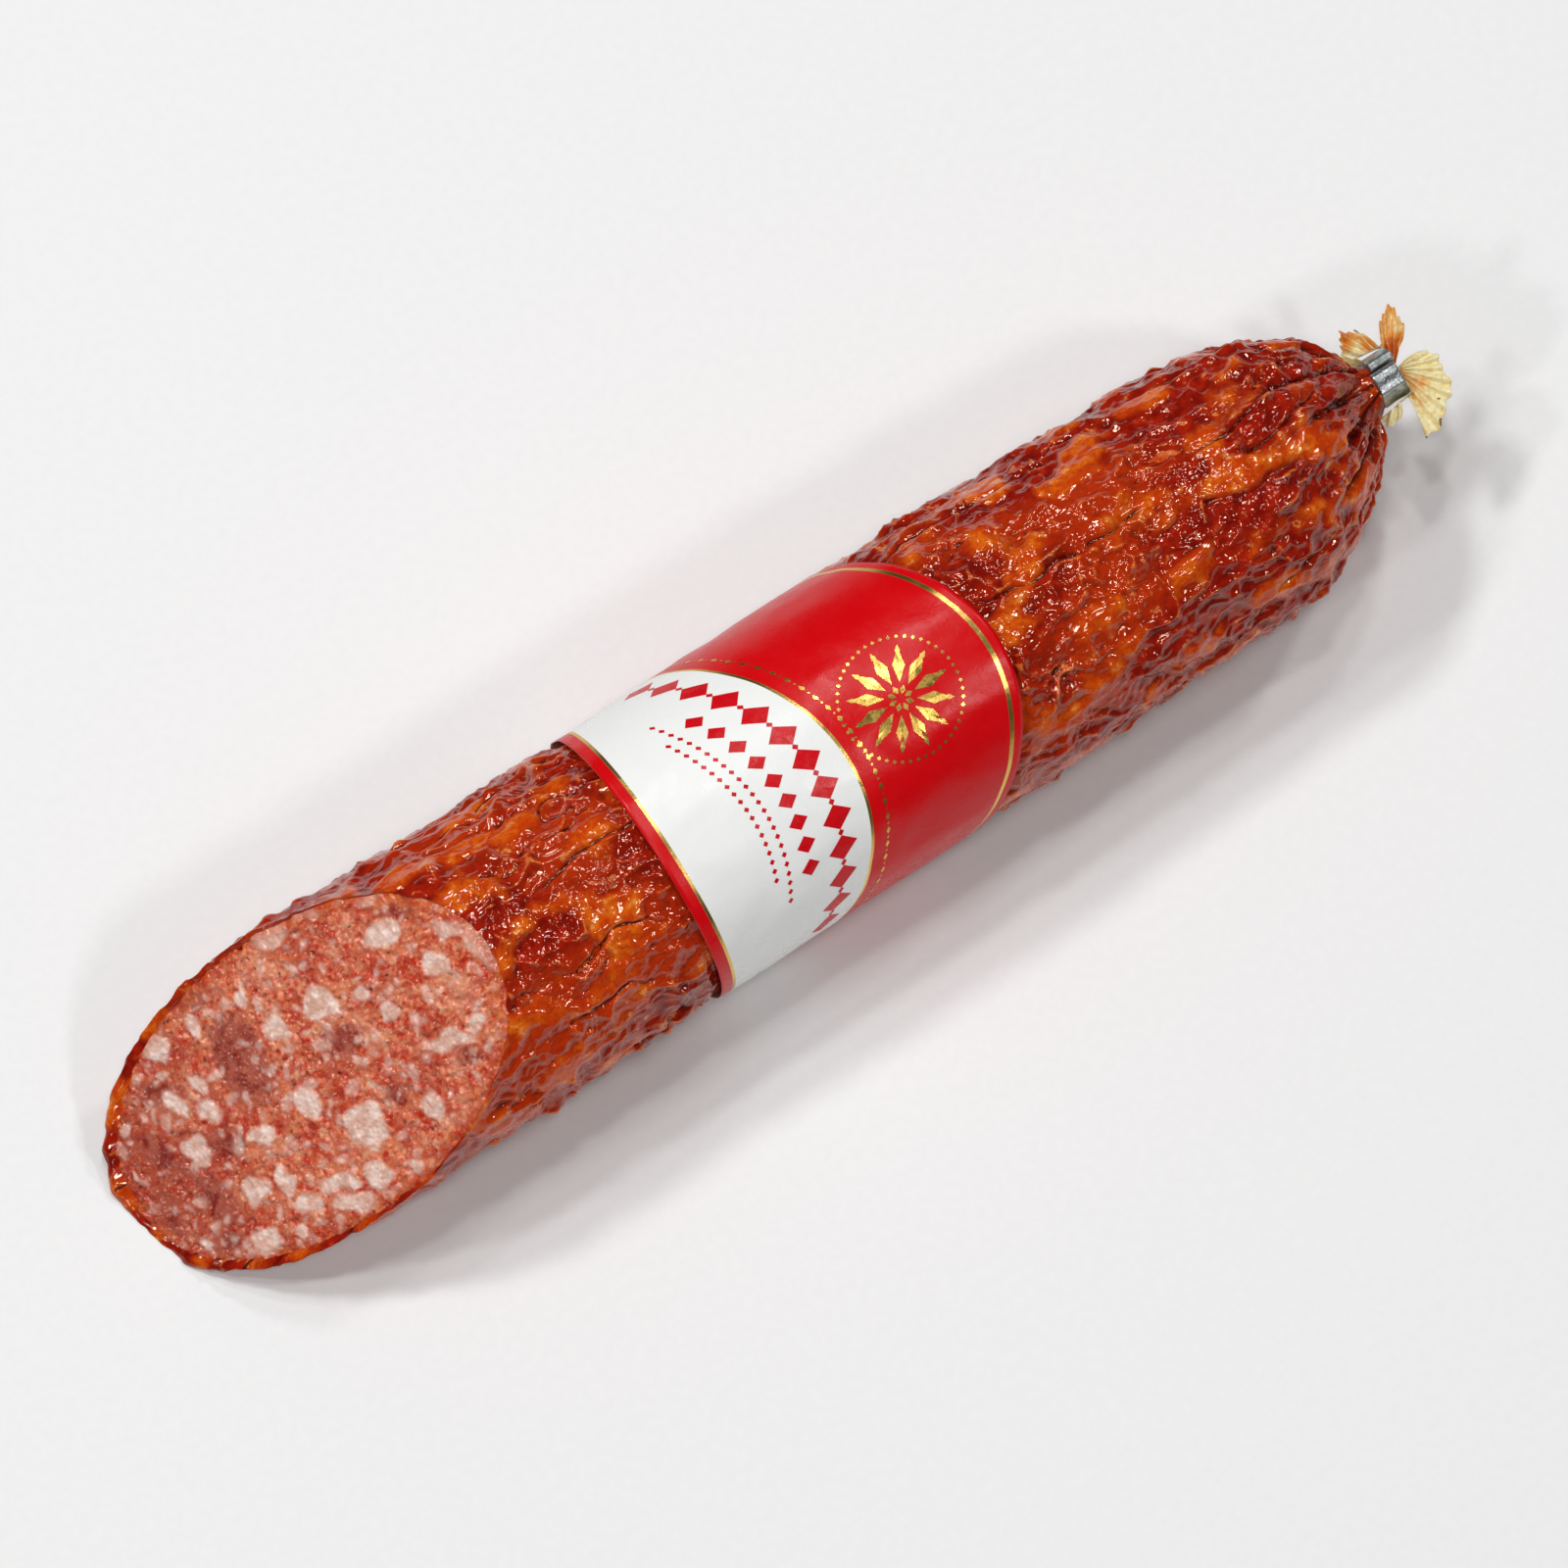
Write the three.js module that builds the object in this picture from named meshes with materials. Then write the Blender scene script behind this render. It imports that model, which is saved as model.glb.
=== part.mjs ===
// A stick of semi-dry cured sausage, cut on the bias at one end and clipped at the other.
// It lies along X with its cut end at -X, on the flat that it has taken from lying on a rack.
// Four pieces: the meat filling, the casing film with its gathered neck and frilled tail,
// the crimped metal clip round the neck, and the printed film label wrapped round the stick.
import * as THREE from "three";

// Driving dimensions, in millimetres.
const CUT_END_RADIUS = 29.2;
const MIDDLE_RADIUS = 28.0;
const CLIP_END_RADIUS = 27.2;
const TAPER_END = 95; // the cut end's fuller girth has run out by here
const DOME_START = 240; // the rounded end runs from here to the neck
const DOME_LENGTH = 35;
const SQUARENESS = 2.25; // the section's superellipse exponent, where 2 is round
const RESTING_FLAT_DEPTH = 1.2; // how far the underside is pressed flat
const CASING_THICKNESS = 0.4;
const LABEL_THICKNESS = 0.3;
const GAP = 0.3; // kept between neighbouring pieces
const CUT_MIDDLE = 37; // where the bias cut crosses the stick's axis
const CUT_SLOPE = 1.3; // how far the cut runs along the stick for each millimetre up its face
const STRAIGHT_FROM = 82; // rings are square to the axis from here on
const NECK_RADIUS = 2.7;
const NECK_LENGTH = 6.5;
const NECK_SIDEWAYS = 1.5; // the neck has set a little to +Y
const NECK_RISE = 0.5; // and a little up
const CLIP_WIDTH = 5.3; // along the neck
const CLIP_BAR = 2.0; // radial thickness of the crimped bar
const CLIP_SLIT = 0.3; // between the bar's two ends
const CLIP_BEVEL = 0.35;
const TAIL_THICKNESS = 0.4;
const TAIL_LEAN = 7; // how far along the frill's furthest lobes lean to the front side, or back
const TAIL_REACH = 15; // of the longest lobe, from the neck's axis
const TAIL_GAP_RADIUS = 6; // where the tears between two lobes of the frill end
const LABEL_START = 110.2;
const LABEL_END = 166.1; // at the stick's two sides
const LABEL_ARCH = 19; // how much further the far edge reaches on the label's front
const LAP_DEGREES = 15; // the glued overlap
const LAP_START_DEGREES = -37.5; // on the hidden lower side, clear of the surface below
const LAP_RAMP_DEGREES = 15;

// The cut face, the label's front and the frill's upper side all face this way,
// measured from +Y towards +Z about the stick's axis.
const FRONT_DEGREES = 105;

// The frill's lobes: where each points, how wide it is and how far it reaches.
const TAIL_LOBES = [
  { at: 162, halfWidth: 44, reach: 14.5 },
  { at: 92, halfWidth: 23, reach: 15 },
  { at: 30, halfWidth: 21, reach: 10 },
  { at: -18, halfWidth: 23, reach: 11.5 },
  { at: -72, halfWidth: 23, reach: 11 },
  { at: -126, halfWidth: 23, reach: 12 },
];

// How finely the surfaces are faceted.
const SIDES = 48;
const CUT_RINGS = 5;
const DOME_RINGS = 6;
const FACE_RINGS = 3;
const TAIL_RINGS = 4;
const BODY_STEP = 14;
const LABEL_ROWS = 5;
const CLIP_SIDES = 20;

const NECK_START = DOME_START + DOME_LENGTH;
const NECK_END = NECK_START + NECK_LENGTH;
const LABEL_ROOM = LABEL_THICKNESS + GAP;
const { degToRad, lerp, smoothstep, clamp, euclideanModulo } = THREE.MathUtils;

// ---------------------------------------------------------------- the stick's shape

function bodyRadius(x) {
  const fuller = (CUT_END_RADIUS - MIDDLE_RADIUS) * (1 - smoothstep(x, 0, TAPER_END));
  const slimmer = (MIDDLE_RADIUS - CLIP_END_RADIUS) * smoothstep(x, LABEL_END, DOME_START);
  return MIDDLE_RADIUS + fuller - slimmer;
}

// The axis lies a radius, less the pressed flat, above the surface below.
function axisPoint(x) {
  const neckShare = smoothstep(x, DOME_START - DOME_LENGTH, NECK_START);
  const height = bodyRadius(Math.min(x, DOME_START)) - RESTING_FLAT_DEPTH;
  return new THREE.Vector3(x, NECK_SIDEWAYS * neckShare, height + NECK_RISE * neckShare);
}

// The label is wrapped tightly, so the casing is drawn in under it by the label's own room.
function waist(x) {
  const near = smoothstep(x, LABEL_START - 4, LABEL_START - 1);
  const far = smoothstep(x, LABEL_END + LABEL_ARCH + 1, LABEL_END + LABEL_ARCH + 4);
  return LABEL_ROOM * (near - far);
}

// 1 on the side that the cut face and the label's front face, -1 on the opposite side.
function towardsFront(angle) {
  return Math.cos(angle - degToRad(FRONT_DEGREES));
}

// How much further out the slightly square section reaches at this angle than a round one.
function squared(angle, radius) {
  const turned = angle - degToRad(FRONT_DEGREES);
  const across = Math.abs(Math.cos(turned)) ** SQUARENESS;
  const along = Math.abs(Math.sin(turned)) ** SQUARENESS;
  const corner = (across + along) ** (-1 / SQUARENESS);
  return lerp(1, corner, smoothstep(radius, NECK_RADIUS, CLIP_END_RADIUS - 1));
}

// A point of the stick at this radius and angle, pressed flat where it would pass the floor.
function ringPoint(x, radius, angle, floor) {
  const point = axisPoint(x);
  const reach = radius * squared(angle, radius);
  point.y += reach * Math.cos(angle);
  point.z = Math.max(point.z + reach * Math.sin(angle), floor);
  return point;
}

// A point of the layer that lies this deep inside the stick's outer surface.
function layerPoint(x, angle, depth) {
  return ringPoint(x, bodyRadius(x) - depth, angle, depth);
}

// Where the bias cut meets a layer: the plane is found by letting x follow the height.
function cutPoint(angle, depth) {
  const up = degToRad(FRONT_DEGREES);
  let x = CUT_MIDDLE;
  for (let turn = 0; turn < 12; turn += 1) {
    const offset = layerPoint(x, angle, depth).sub(axisPoint(CUT_MIDDLE));
    x = CUT_MIDDLE + CUT_SLOPE * (offset.y * Math.cos(up) + offset.z * Math.sin(up));
  }
  return layerPoint(x, angle, depth);
}

// ---------------------------------------------------------------- building closed surfaces

function ringOf(pointAt, sides = SIDES) {
  const ring = [];
  for (let i = 0; i < sides; i += 1) ring.push(pointAt((2 * Math.PI * i) / sides));
  return ring;
}

function geometryFrom(points, triangles) {
  const geometry = new THREE.BufferGeometry();
  geometry.setFromPoints(points);
  geometry.setIndex(triangles);
  geometry.computeVertexNormals();
  return geometry;
}

// Joins rings of points, one after the other, from a first point to a last point on the axis.
// The rings run outwards from the first point, over the outside and back to the last one.
function closedSkin(first, rings, last) {
  const points = [first, ...rings.flat(), last];
  const end = points.length - 1;
  const sides = rings[0].length;
  const triangles = [];
  for (let i = 0; i < sides; i += 1) {
    const j = (i + 1) % sides;
    triangles.push(0, 1 + j, 1 + i);
    for (let k = 0; k + 1 < rings.length; k += 1) {
      const here = 1 + k * sides;
      const next = here + sides;
      // A wall's inner and outer patches are split the same way, so that it keeps its thickness.
      const forward = points[next + i].x >= points[here + i].x;
      const [p, q] = forward ? [next + i, here + j] : [next + j, here + i];
      triangles.push(here + i, here + j, p, q, next + j, next + i);
    }
    const rim = 1 + (rings.length - 1) * sides;
    triangles.push(rim + i, rim + j, end);
  }
  return geometryFrom(points, triangles);
}

// The stations where rings square to the axis stand, between the cut and the dome.
function bodyStations() {
  const bends = [LABEL_START - 4, LABEL_START - 1, LABEL_END + LABEL_ARCH + 1, LABEL_END + LABEL_ARCH + 4];
  const ends = [STRAIGHT_FROM, ...bends, DOME_START];
  const stations = [];
  for (let i = 0; i + 1 < ends.length; i += 1) {
    const steps = Math.ceil((ends[i + 1] - ends[i]) / BODY_STEP);
    for (let k = 0; k < steps; k += 1) stations.push(lerp(ends[i], ends[i + 1], k / steps));
  }
  return stations;
}

// The rings of one layer from the bias cut to the start of the dome.
function bodyRings(depth) {
  const rings = [];
  for (let k = 0; k < CUT_RINGS; k += 1) {
    rings.push(
      ringOf((angle) => {
        const rim = cutPoint(angle, depth);
        return k === 0 ? rim : layerPoint(lerp(rim.x, STRAIGHT_FROM, k / CUT_RINGS), angle, depth);
      }),
    );
  }
  for (const x of bodyStations()) rings.push(ringOf((angle) => layerPoint(x, angle, depth + waist(x))));
  return rings;
}

// The rings of a layer over the rounded end: a quarter ellipse closing on the radius of its middle.
function domeRings(depth, closingRadius, shortBy, count = DOME_RINGS) {
  const rings = [];
  for (let k = 0; k < count; k += 1) {
    const turn = (Math.PI / 2) * (k / DOME_RINGS);
    const x = DOME_START + (DOME_LENGTH - shortBy) * Math.sin(turn);
    const radius = lerp(closingRadius, CLIP_END_RADIUS - depth, Math.cos(turn));
    rings.push(ringOf((angle) => ringPoint(x, radius, angle, depth)));
  }
  return rings;
}

// ---------------------------------------------------------------- the pieces

// The filling: a bias-cut face, then the sides and the rounded end inside the casing.
function meatGeometry() {
  const depth = CASING_THICKNESS + GAP;
  const centre = axisPoint(CUT_MIDDLE);
  const face = [];
  for (let k = 1; k < FACE_RINGS; k += 1) {
    face.push(ringOf((angle) => centre.clone().lerp(cutPoint(angle, depth), k / FACE_RINGS)));
  }
  const apexShort = 3;
  const rings = [...face, ...bodyRings(depth), ...domeRings(depth, 0, apexShort)];
  return closedSkin(centre, rings, axisPoint(NECK_START - apexShort));
}

// How far the frilled tail reaches at this angle, with tears between its lobes.
function tailReach(angle) {
  let reach = TAIL_GAP_RADIUS;
  for (const lobe of TAIL_LOBES) {
    const away = euclideanModulo(angle - degToRad(lobe.at) + Math.PI, 2 * Math.PI) - Math.PI;
    const share = clamp(1 - Math.abs(away) / degToRad(lobe.halfWidth), 0, 1);
    reach = Math.max(reach, lerp(TAIL_GAP_RADIUS, lobe.reach, Math.sqrt(share)));
  }
  return reach;
}

// A point of the frill, from the neck at share 0 to its rim at share 1.
function tailPoint(share, angle, forward) {
  const radius = lerp(NECK_RADIUS, tailReach(angle), share);
  const spread = (radius - NECK_RADIUS) / (TAIL_REACH - NECK_RADIUS);
  const along = share + TAIL_LEAN * towardsFront(angle) * spread * spread + forward;
  const around = new THREE.Vector3(along, radius * Math.cos(angle), radius * Math.sin(angle));
  return axisPoint(NECK_END).add(around);
}

// The casing: one film from the cut edge over the stick, gathered at the neck and spread as a frill.
function casingGeometry() {
  const innerApexShort = 2;
  const inside = [
    ...bodyRings(CASING_THICKNESS),
    ...domeRings(CASING_THICKNESS, 0, innerApexShort),
  ].reverse();
  const outside = [...bodyRings(0), ...domeRings(0, NECK_RADIUS, 0)];
  const neck = [NECK_START, NECK_END].map((x) => ringOf((angle) => ringPoint(x, NECK_RADIUS, angle, 0)));
  const back = [];
  const front = [];
  for (let k = 1; k <= TAIL_RINGS; k += 1) {
    const share = k / TAIL_RINGS;
    back.push(ringOf((angle) => tailPoint(share, angle, 0)));
    front.unshift(ringOf((angle) => tailPoint(share, angle, TAIL_THICKNESS)));
  }
  const first = axisPoint(NECK_START - innerApexShort);
  const last = axisPoint(NECK_END + 2 * TAIL_THICKNESS);
  return closedSkin(first, [...inside, ...outside, ...neck, ...back, ...front], last);
}

// The clip: a flat bar crimped round the neck, its two ends curled in and nearly touching.
function clipGeometry() {
  const inner = NECK_RADIUS + GAP;
  const middle = inner + CLIP_BAR / 2;
  const slit = CLIP_SLIT / 2;
  const endTurn = Math.asin((CLIP_BAR / 2 + slit) / middle);
  const slitTurn = Math.asin(slit / inner);
  const shape = new THREE.Shape();
  shape.absarc(0, 0, inner + CLIP_BAR, endTurn, 2 * Math.PI - endTurn, false);
  shape.absarc(middle * Math.cos(endTurn), -middle * Math.sin(endTurn), CLIP_BAR / 2, -endTurn, Math.PI / 2, false);
  shape.lineTo(inner * Math.cos(slitTurn), -slit);
  shape.absarc(0, 0, inner, 2 * Math.PI - slitTurn, slitTurn, true);
  shape.lineTo(middle * Math.cos(endTurn), slit);
  shape.absarc(middle * Math.cos(endTurn), middle * Math.sin(endTurn), CLIP_BAR / 2, -Math.PI / 2, endTurn, false);
  return new THREE.ExtrudeGeometry(shape, {
    depth: CLIP_WIDTH - 2 * CLIP_BEVEL,
    bevelThickness: CLIP_BEVEL,
    bevelSize: CLIP_BEVEL,
    bevelOffset: -CLIP_BEVEL,
    bevelSegments: 2,
    curveSegments: CLIP_SIDES,
  });
}

// The label's far edge is cut as an arch that reaches furthest on the front.
function labelEnd(angle) {
  const front = towardsFront(angle);
  return LABEL_END + (LABEL_ARCH * (front + 0.3 * front * front)) / 1.3;
}

// The label: one strip of film, wrapped once round and lapped over its own start.
function labelGeometry() {
  const columns = Math.round((SIDES * (360 + LAP_DEGREES)) / 360);
  const points = [];
  for (let i = 0; i <= columns; i += 1) {
    const turned = ((360 + LAP_DEGREES) * i) / columns;
    const angle = degToRad(LAP_START_DEGREES + turned);
    const lift = LABEL_ROOM * clamp((turned - 360 + LAP_RAMP_DEGREES) / LAP_RAMP_DEGREES, 0, 1);
    for (const depth of [-lift, LABEL_THICKNESS - lift]) {
      for (let k = 0; k <= LABEL_ROWS; k += 1) {
        const x = lerp(LABEL_START, labelEnd(angle), k / LABEL_ROWS);
        points.push(layerPoint(x, angle, depth));
      }
    }
  }
  // Each column is a loop of points: the outside from near to far, then the inside back again.
  const row = LABEL_ROWS + 1;
  const loop = [];
  for (let k = 0; k < row; k += 1) loop.push(k);
  for (let k = row - 1; k >= 0; k -= 1) loop.push(row + k);
  const triangles = [];
  for (let i = 0; i < columns; i += 1) {
    const here = i * 2 * row;
    const next = here + 2 * row;
    for (let k = 0; k < loop.length; k += 1) {
      const a = loop[k];
      const b = loop[(k + 1) % loop.length];
      triangles.push(here + a, next + a, here + b, here + b, next + a, next + b);
    }
  }
  const last = columns * 2 * row;
  for (let k = 0; k < LABEL_ROWS; k += 1) {
    triangles.push(k, k + 1, row + k, k + 1, row + k + 1, row + k);
    triangles.push(last + k, last + row + k, last + k + 1, last + k + 1, last + row + k, last + row + k + 1);
  }
  return geometryFrom(points, triangles);
}

// ---------------------------------------------------------------- the assembly

function piece(name, geometry, colour, roughness, metalness) {
  const material = new THREE.MeshStandardMaterial({ color: colour, roughness, metalness });
  const mesh = new THREE.Mesh(geometry, material);
  mesh.name = name;
  return mesh;
}

const stick = new THREE.Group();
stick.add(piece("meat_filling", meatGeometry(), 0xc4604c, 0.45, 0));
stick.add(piece("casing", casingGeometry(), 0xa8341a, 0.25, 0));
stick.add(piece("label_sleeve", labelGeometry(), 0xe3000f, 0.3, 0));

// The clip is extruded along its own Z, which is turned onto the neck's axis, slit to the front.
const clip = piece("end_clip", clipGeometry(), 0xb9bcc0, 0.35, 1);
clip.rotation.set(0, Math.PI / 2, 0);
const clipTurn = new THREE.Group();
clipTurn.add(clip);
clipTurn.rotation.x = degToRad(FRONT_DEGREES - 25);
clipTurn.position.copy(axisPoint(NECK_START + (NECK_LENGTH - CLIP_WIDTH) / 2 + CLIP_BEVEL));
stick.add(clipTurn);

// The part's origin is the middle of its underside.
stick.updateMatrixWorld(true);
const bounds = new THREE.Box3().setFromObject(stick, true);
const middle = bounds.getCenter(new THREE.Vector3());
stick.position.set(-middle.x, -middle.y, -bounds.min.z);

const part = new THREE.Group();
part.add(stick);
export default part;
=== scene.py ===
"""A stick of cured sausage: bias-cut meat, wrinkled casing, crimped clip and printed film label.

Lengths are in millimetres until a mesh is made, and `s` is the distance along the stick from
the tip of its cut end. `angle` goes round the stick from +Y towards +Z.
"""

import math

import bpy
import numpy as np
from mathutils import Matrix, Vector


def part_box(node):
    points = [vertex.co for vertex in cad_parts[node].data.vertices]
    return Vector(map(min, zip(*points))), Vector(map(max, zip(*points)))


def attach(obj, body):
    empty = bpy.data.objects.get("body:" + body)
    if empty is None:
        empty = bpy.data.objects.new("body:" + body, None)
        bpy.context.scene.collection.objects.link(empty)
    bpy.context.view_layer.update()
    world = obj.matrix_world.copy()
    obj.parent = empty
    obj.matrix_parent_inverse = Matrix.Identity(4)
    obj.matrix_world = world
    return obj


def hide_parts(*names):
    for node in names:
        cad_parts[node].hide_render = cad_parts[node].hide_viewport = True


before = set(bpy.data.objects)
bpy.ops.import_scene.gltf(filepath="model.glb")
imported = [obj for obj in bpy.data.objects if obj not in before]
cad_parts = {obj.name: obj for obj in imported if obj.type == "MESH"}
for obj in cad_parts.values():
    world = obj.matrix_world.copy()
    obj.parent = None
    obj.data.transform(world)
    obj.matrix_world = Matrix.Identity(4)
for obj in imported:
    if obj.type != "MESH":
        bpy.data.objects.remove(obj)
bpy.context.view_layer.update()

# ==================================================================== the stick's form
# The stuffed stick is a slightly square cylinder, a little fuller at the cut end. It has lain
# on its side while drying, so its underside is pressed flat, and its far end is rounded and
# gathered into a neck. Every piece below takes its place from this form.

MM = 0.001
LABEL_FROM_TIP = 110.2
CLIP_FROM_NECK = 0.6
CUT_END_RADIUS = 29.2
MIDDLE_RADIUS = 28.0
CLIP_END_RADIUS = 26.6
TAPER_END = 95.0
SLIMMING_FROM = 166.0
DOME_START = 240.0
SQUARENESS = 2.1
FLAT_DEPTH = 1.2
NECK_RADIUS = 2.7
NECK_SIDEWAYS = 1.5
NECK_RISE = 0.5
FRONT = math.radians(105)
DOME_ROUNDNESS = 1.3
LEAST_RADIUS = 0.3

stick_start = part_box("label_sleeve")[0].x / MM - LABEL_FROM_TIP
NECK_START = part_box("end_clip")[0].x / MM - CLIP_FROM_NECK - stick_start
NECK_END = NECK_START + (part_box("end_clip")[1].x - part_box("end_clip")[0].x) / MM + 2 * CLIP_FROM_NECK
DOME_LENGTH = NECK_START - DOME_START


def ease(x, low, high):
    """0 below low, 1 above high, and a smooth step between them."""
    t = np.clip((x - low) / (high - low), 0.0, 1.0)
    return t * t * (3 - 2 * t)


def stick_radius(s):
    fuller = (CUT_END_RADIUS - MIDDLE_RADIUS) * (1 - ease(s, 0, TAPER_END))
    slimmer = (MIDDLE_RADIUS - CLIP_END_RADIUS) * ease(s, SLIMMING_FROM, DOME_START)
    return MIDDLE_RADIUS + fuller - slimmer


def stick_axis(s):
    """The axis's sideways place and its height above the surface that the stick lies on."""
    neck_share = ease(s, DOME_START, NECK_START)
    height = stick_radius(np.minimum(s, DOME_START)) - FLAT_DEPTH
    return NECK_SIDEWAYS * neck_share, height + NECK_RISE * neck_share


def squared(angle, radius):
    turned = angle - FRONT
    across = np.abs(np.cos(turned)) ** SQUARENESS
    along = np.abs(np.sin(turned)) ** SQUARENESS
    corner = (across + along) ** (-1 / SQUARENESS)
    return 1 + (corner - 1) * ease(radius, NECK_RADIUS, CLIP_END_RADIUS - 1)


def ring_point(s, radius, angle, floor=0.0, softness=0.25):
    """A point at this radius and angle, pressed onto the flat where it would pass it."""
    side, height = stick_axis(s)
    reach = radius * squared(angle, radius)
    z = height + reach * np.sin(angle) - floor
    z = floor + 0.5 * (z + np.sqrt(z * z + softness * softness))
    y = side + reach * np.cos(angle)
    return np.stack(np.broadcast_arrays(s + stick_start, y, z), axis=-1)


# Distance along the skin: the same as s up to the dome, then measured over the dome's curve.
dome_turns = np.linspace(0, math.pi / 2, 400)
dome_s = DOME_START + DOME_LENGTH * np.sin(dome_turns)
dome_radii = NECK_RADIUS + (CLIP_END_RADIUS - NECK_RADIUS) * np.abs(np.cos(dome_turns)) ** DOME_ROUNDNESS
dome_skin = DOME_START + np.concatenate(
    [[0.0], np.cumsum(np.hypot(np.diff(dome_s), np.diff(dome_radii)))]
)
SKIN_END = dome_skin[-1]


def skin_point(skin, angle, lift, floor=0.0):
    """A point of the stick's surface at this distance along its skin, lifted off it."""
    turn = np.interp(skin, dome_skin, dome_turns)
    on_dome = skin > DOME_START
    beyond = np.maximum(skin - SKIN_END, 0)
    s = np.where(on_dome, np.interp(skin, dome_skin, dome_s), skin) + beyond
    radius = np.where(on_dome, np.interp(skin, dome_skin, dome_radii), stick_radius(skin))
    lean = np.where(beyond > 0, 0.0, np.sin(turn))
    out = np.where(beyond > 0, 1.0, np.cos(turn))
    return ring_point(s + lift * lean, np.maximum(radius + lift * out, LEAST_RADIUS), angle, floor)


# The bias cut: a plane whose height above the axis falls towards the tip.
CUT_MIDDLE = 38.7
CUT_SLOPE = 1.345
CUT_FRONT = math.radians(99)


def cut_middle():
    return np.array([stick_start + CUT_MIDDLE, *(float(v) for v in stick_axis(CUT_MIDDLE))])


def cut_rim(angle, lift):
    """How far along the stick the bias cut meets the skin at this angle."""
    middle = cut_middle()
    s = np.full(np.shape(angle), CUT_MIDDLE)
    for _ in range(14):
        offset = ring_point(s, stick_radius(s) + lift, angle) - middle
        rise = offset[..., 1] * math.cos(CUT_FRONT) + offset[..., 2] * math.sin(CUT_FRONT)
        s = CUT_MIDDLE + CUT_SLOPE * rise
    return s


# The printed label's far edge, and the arched shape that it shares with the line inside it.
LABEL_END = 166.1
LABEL_ARCH = 19.0


def towards_front(angle):
    return np.cos(angle - FRONT)


def arch(angle):
    """1 over the stick's front, falling off to either side as the label's curved lines do."""
    front = towards_front(angle)
    return (front + 0.3 * front * front) / 1.3


def label_end(angle):
    return LABEL_END + LABEL_ARCH * arch(angle)


def piece_from(name, points, faces, smooth=True):
    """A mesh object made of points in millimetres and a list or array of faces."""
    mesh = bpy.data.meshes.new(name)
    faces = [np.asarray(f, np.int32) for f in (faces if isinstance(faces, list) else [faces])]
    faces = [f for f in faces if len(f)]
    corners = np.concatenate([f.ravel() for f in faces])
    sizes = np.concatenate([np.full(len(f), f.shape[1], np.int32) for f in faces])
    mesh.vertices.add(len(points))
    mesh.vertices.foreach_set("co", (np.asarray(points) * MM).astype(np.float32).ravel())
    mesh.loops.add(len(corners))
    mesh.loops.foreach_set("vertex_index", corners)
    mesh.polygons.add(len(sizes))
    mesh.polygons.foreach_set("loop_start", np.concatenate([[0], np.cumsum(sizes)[:-1]]).astype(np.int32))
    mesh.polygons.foreach_set("loop_total", sizes)
    mesh.polygons.foreach_set("use_smooth", np.full(len(sizes), smooth))
    mesh.update(calc_edges=True)
    mesh.validate()
    piece = bpy.data.objects.new(name, mesh)
    bpy.context.scene.collection.objects.link(piece)
    return piece


def paint(piece, **values):
    """Stores one number per vertex under each name, for the materials to read."""
    for name, numbers in values.items():
        attribute = piece.data.attributes.new(name, "FLOAT", "POINT")
        attribute.data.foreach_set("value", np.asarray(numbers, np.float32).ravel())


def ring_faces(rows, columns, first=0):
    """Four-sided faces between successive closed rings of a lathe-like surface."""
    here = first + np.arange(rows * columns).reshape(rows, columns)
    beside = np.roll(here, -1, axis=1)
    return np.stack([here[:-1], beside[:-1], beside[1:], here[1:]], axis=-1).reshape(-1, 4)


def grid_faces(rows, columns, first=0):
    """Four-sided faces between the neighbours of an open grid."""
    here = first + np.arange(rows * columns).reshape(rows, columns)
    return np.stack([here[:-1, :-1], here[:-1, 1:], here[1:, 1:], here[1:, :-1]], axis=-1).reshape(-1, 4)


# ==================================================================== the casing's wrinkles
# The casing is one smoked film that has shrunk onto the meat while drying. It lies smooth and
# taut over the fat beneath it, and between the fat it is crumpled into small sharp folds that
# mostly run along the stick. They are worked out once, on the film laid out flat.

FILM_STEP = 0.25
FILM_LENGTH = 320.0
FILM_BEFORE_TIP = 10.0
FILM_GIRTH = 2 * math.pi * MIDDLE_RADIUS
film_rows = int(FILM_LENGTH / FILM_STEP)
film_columns = int(round(FILM_GIRTH / FILM_STEP))
wave_s = np.fft.fftfreq(film_rows, FILM_LENGTH / film_rows)[:, None]
wave_girth = np.fft.fftfreq(film_columns, FILM_GIRTH / film_columns)[None, :]
dice = np.random.default_rng(74)


def normal_noise(response, random=dice):
    """Noise with this response to each wave, of mean 0 and spread 1."""
    white = np.fft.fft2(random.standard_normal(response.shape))
    field = np.real(np.fft.ifft2(white * response))
    return (field - field.mean()) / field.std()


def bumps(size, stretch=1.0, sharpness=0.35):
    """Noise whose bumps repeat about every `size`, drawn out along the stick by `stretch`."""
    wave = np.hypot(wave_s * stretch, wave_girth) * size
    return normal_noise(np.exp(-(((wave - 1) / sharpness) ** 2)))


def swells(size, stretch=1.0):
    """Smooth swells no smaller than `size`."""
    wave = np.hypot(wave_s * stretch, wave_girth) * size
    return normal_noise(np.exp(-wave * wave))


def smoothed(field, wave):
    return np.real(np.fft.ifft2(np.fft.fft2(field) * np.exp(-wave * wave)))


def blurred(field, size):
    return smoothed(field, np.hypot(wave_s, wave_girth) * size)


def between(field, rows, columns, down, over):
    """The field's value `down` and `over` of the way between these pairs of rows and columns."""
    top = field[rows[0], columns[0]] * (1 - over) + field[rows[0], columns[1]] * over
    low = field[rows[1], columns[0]] * (1 - over) + field[rows[1], columns[1]] * over
    return top * (1 - down) + low * down


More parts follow.
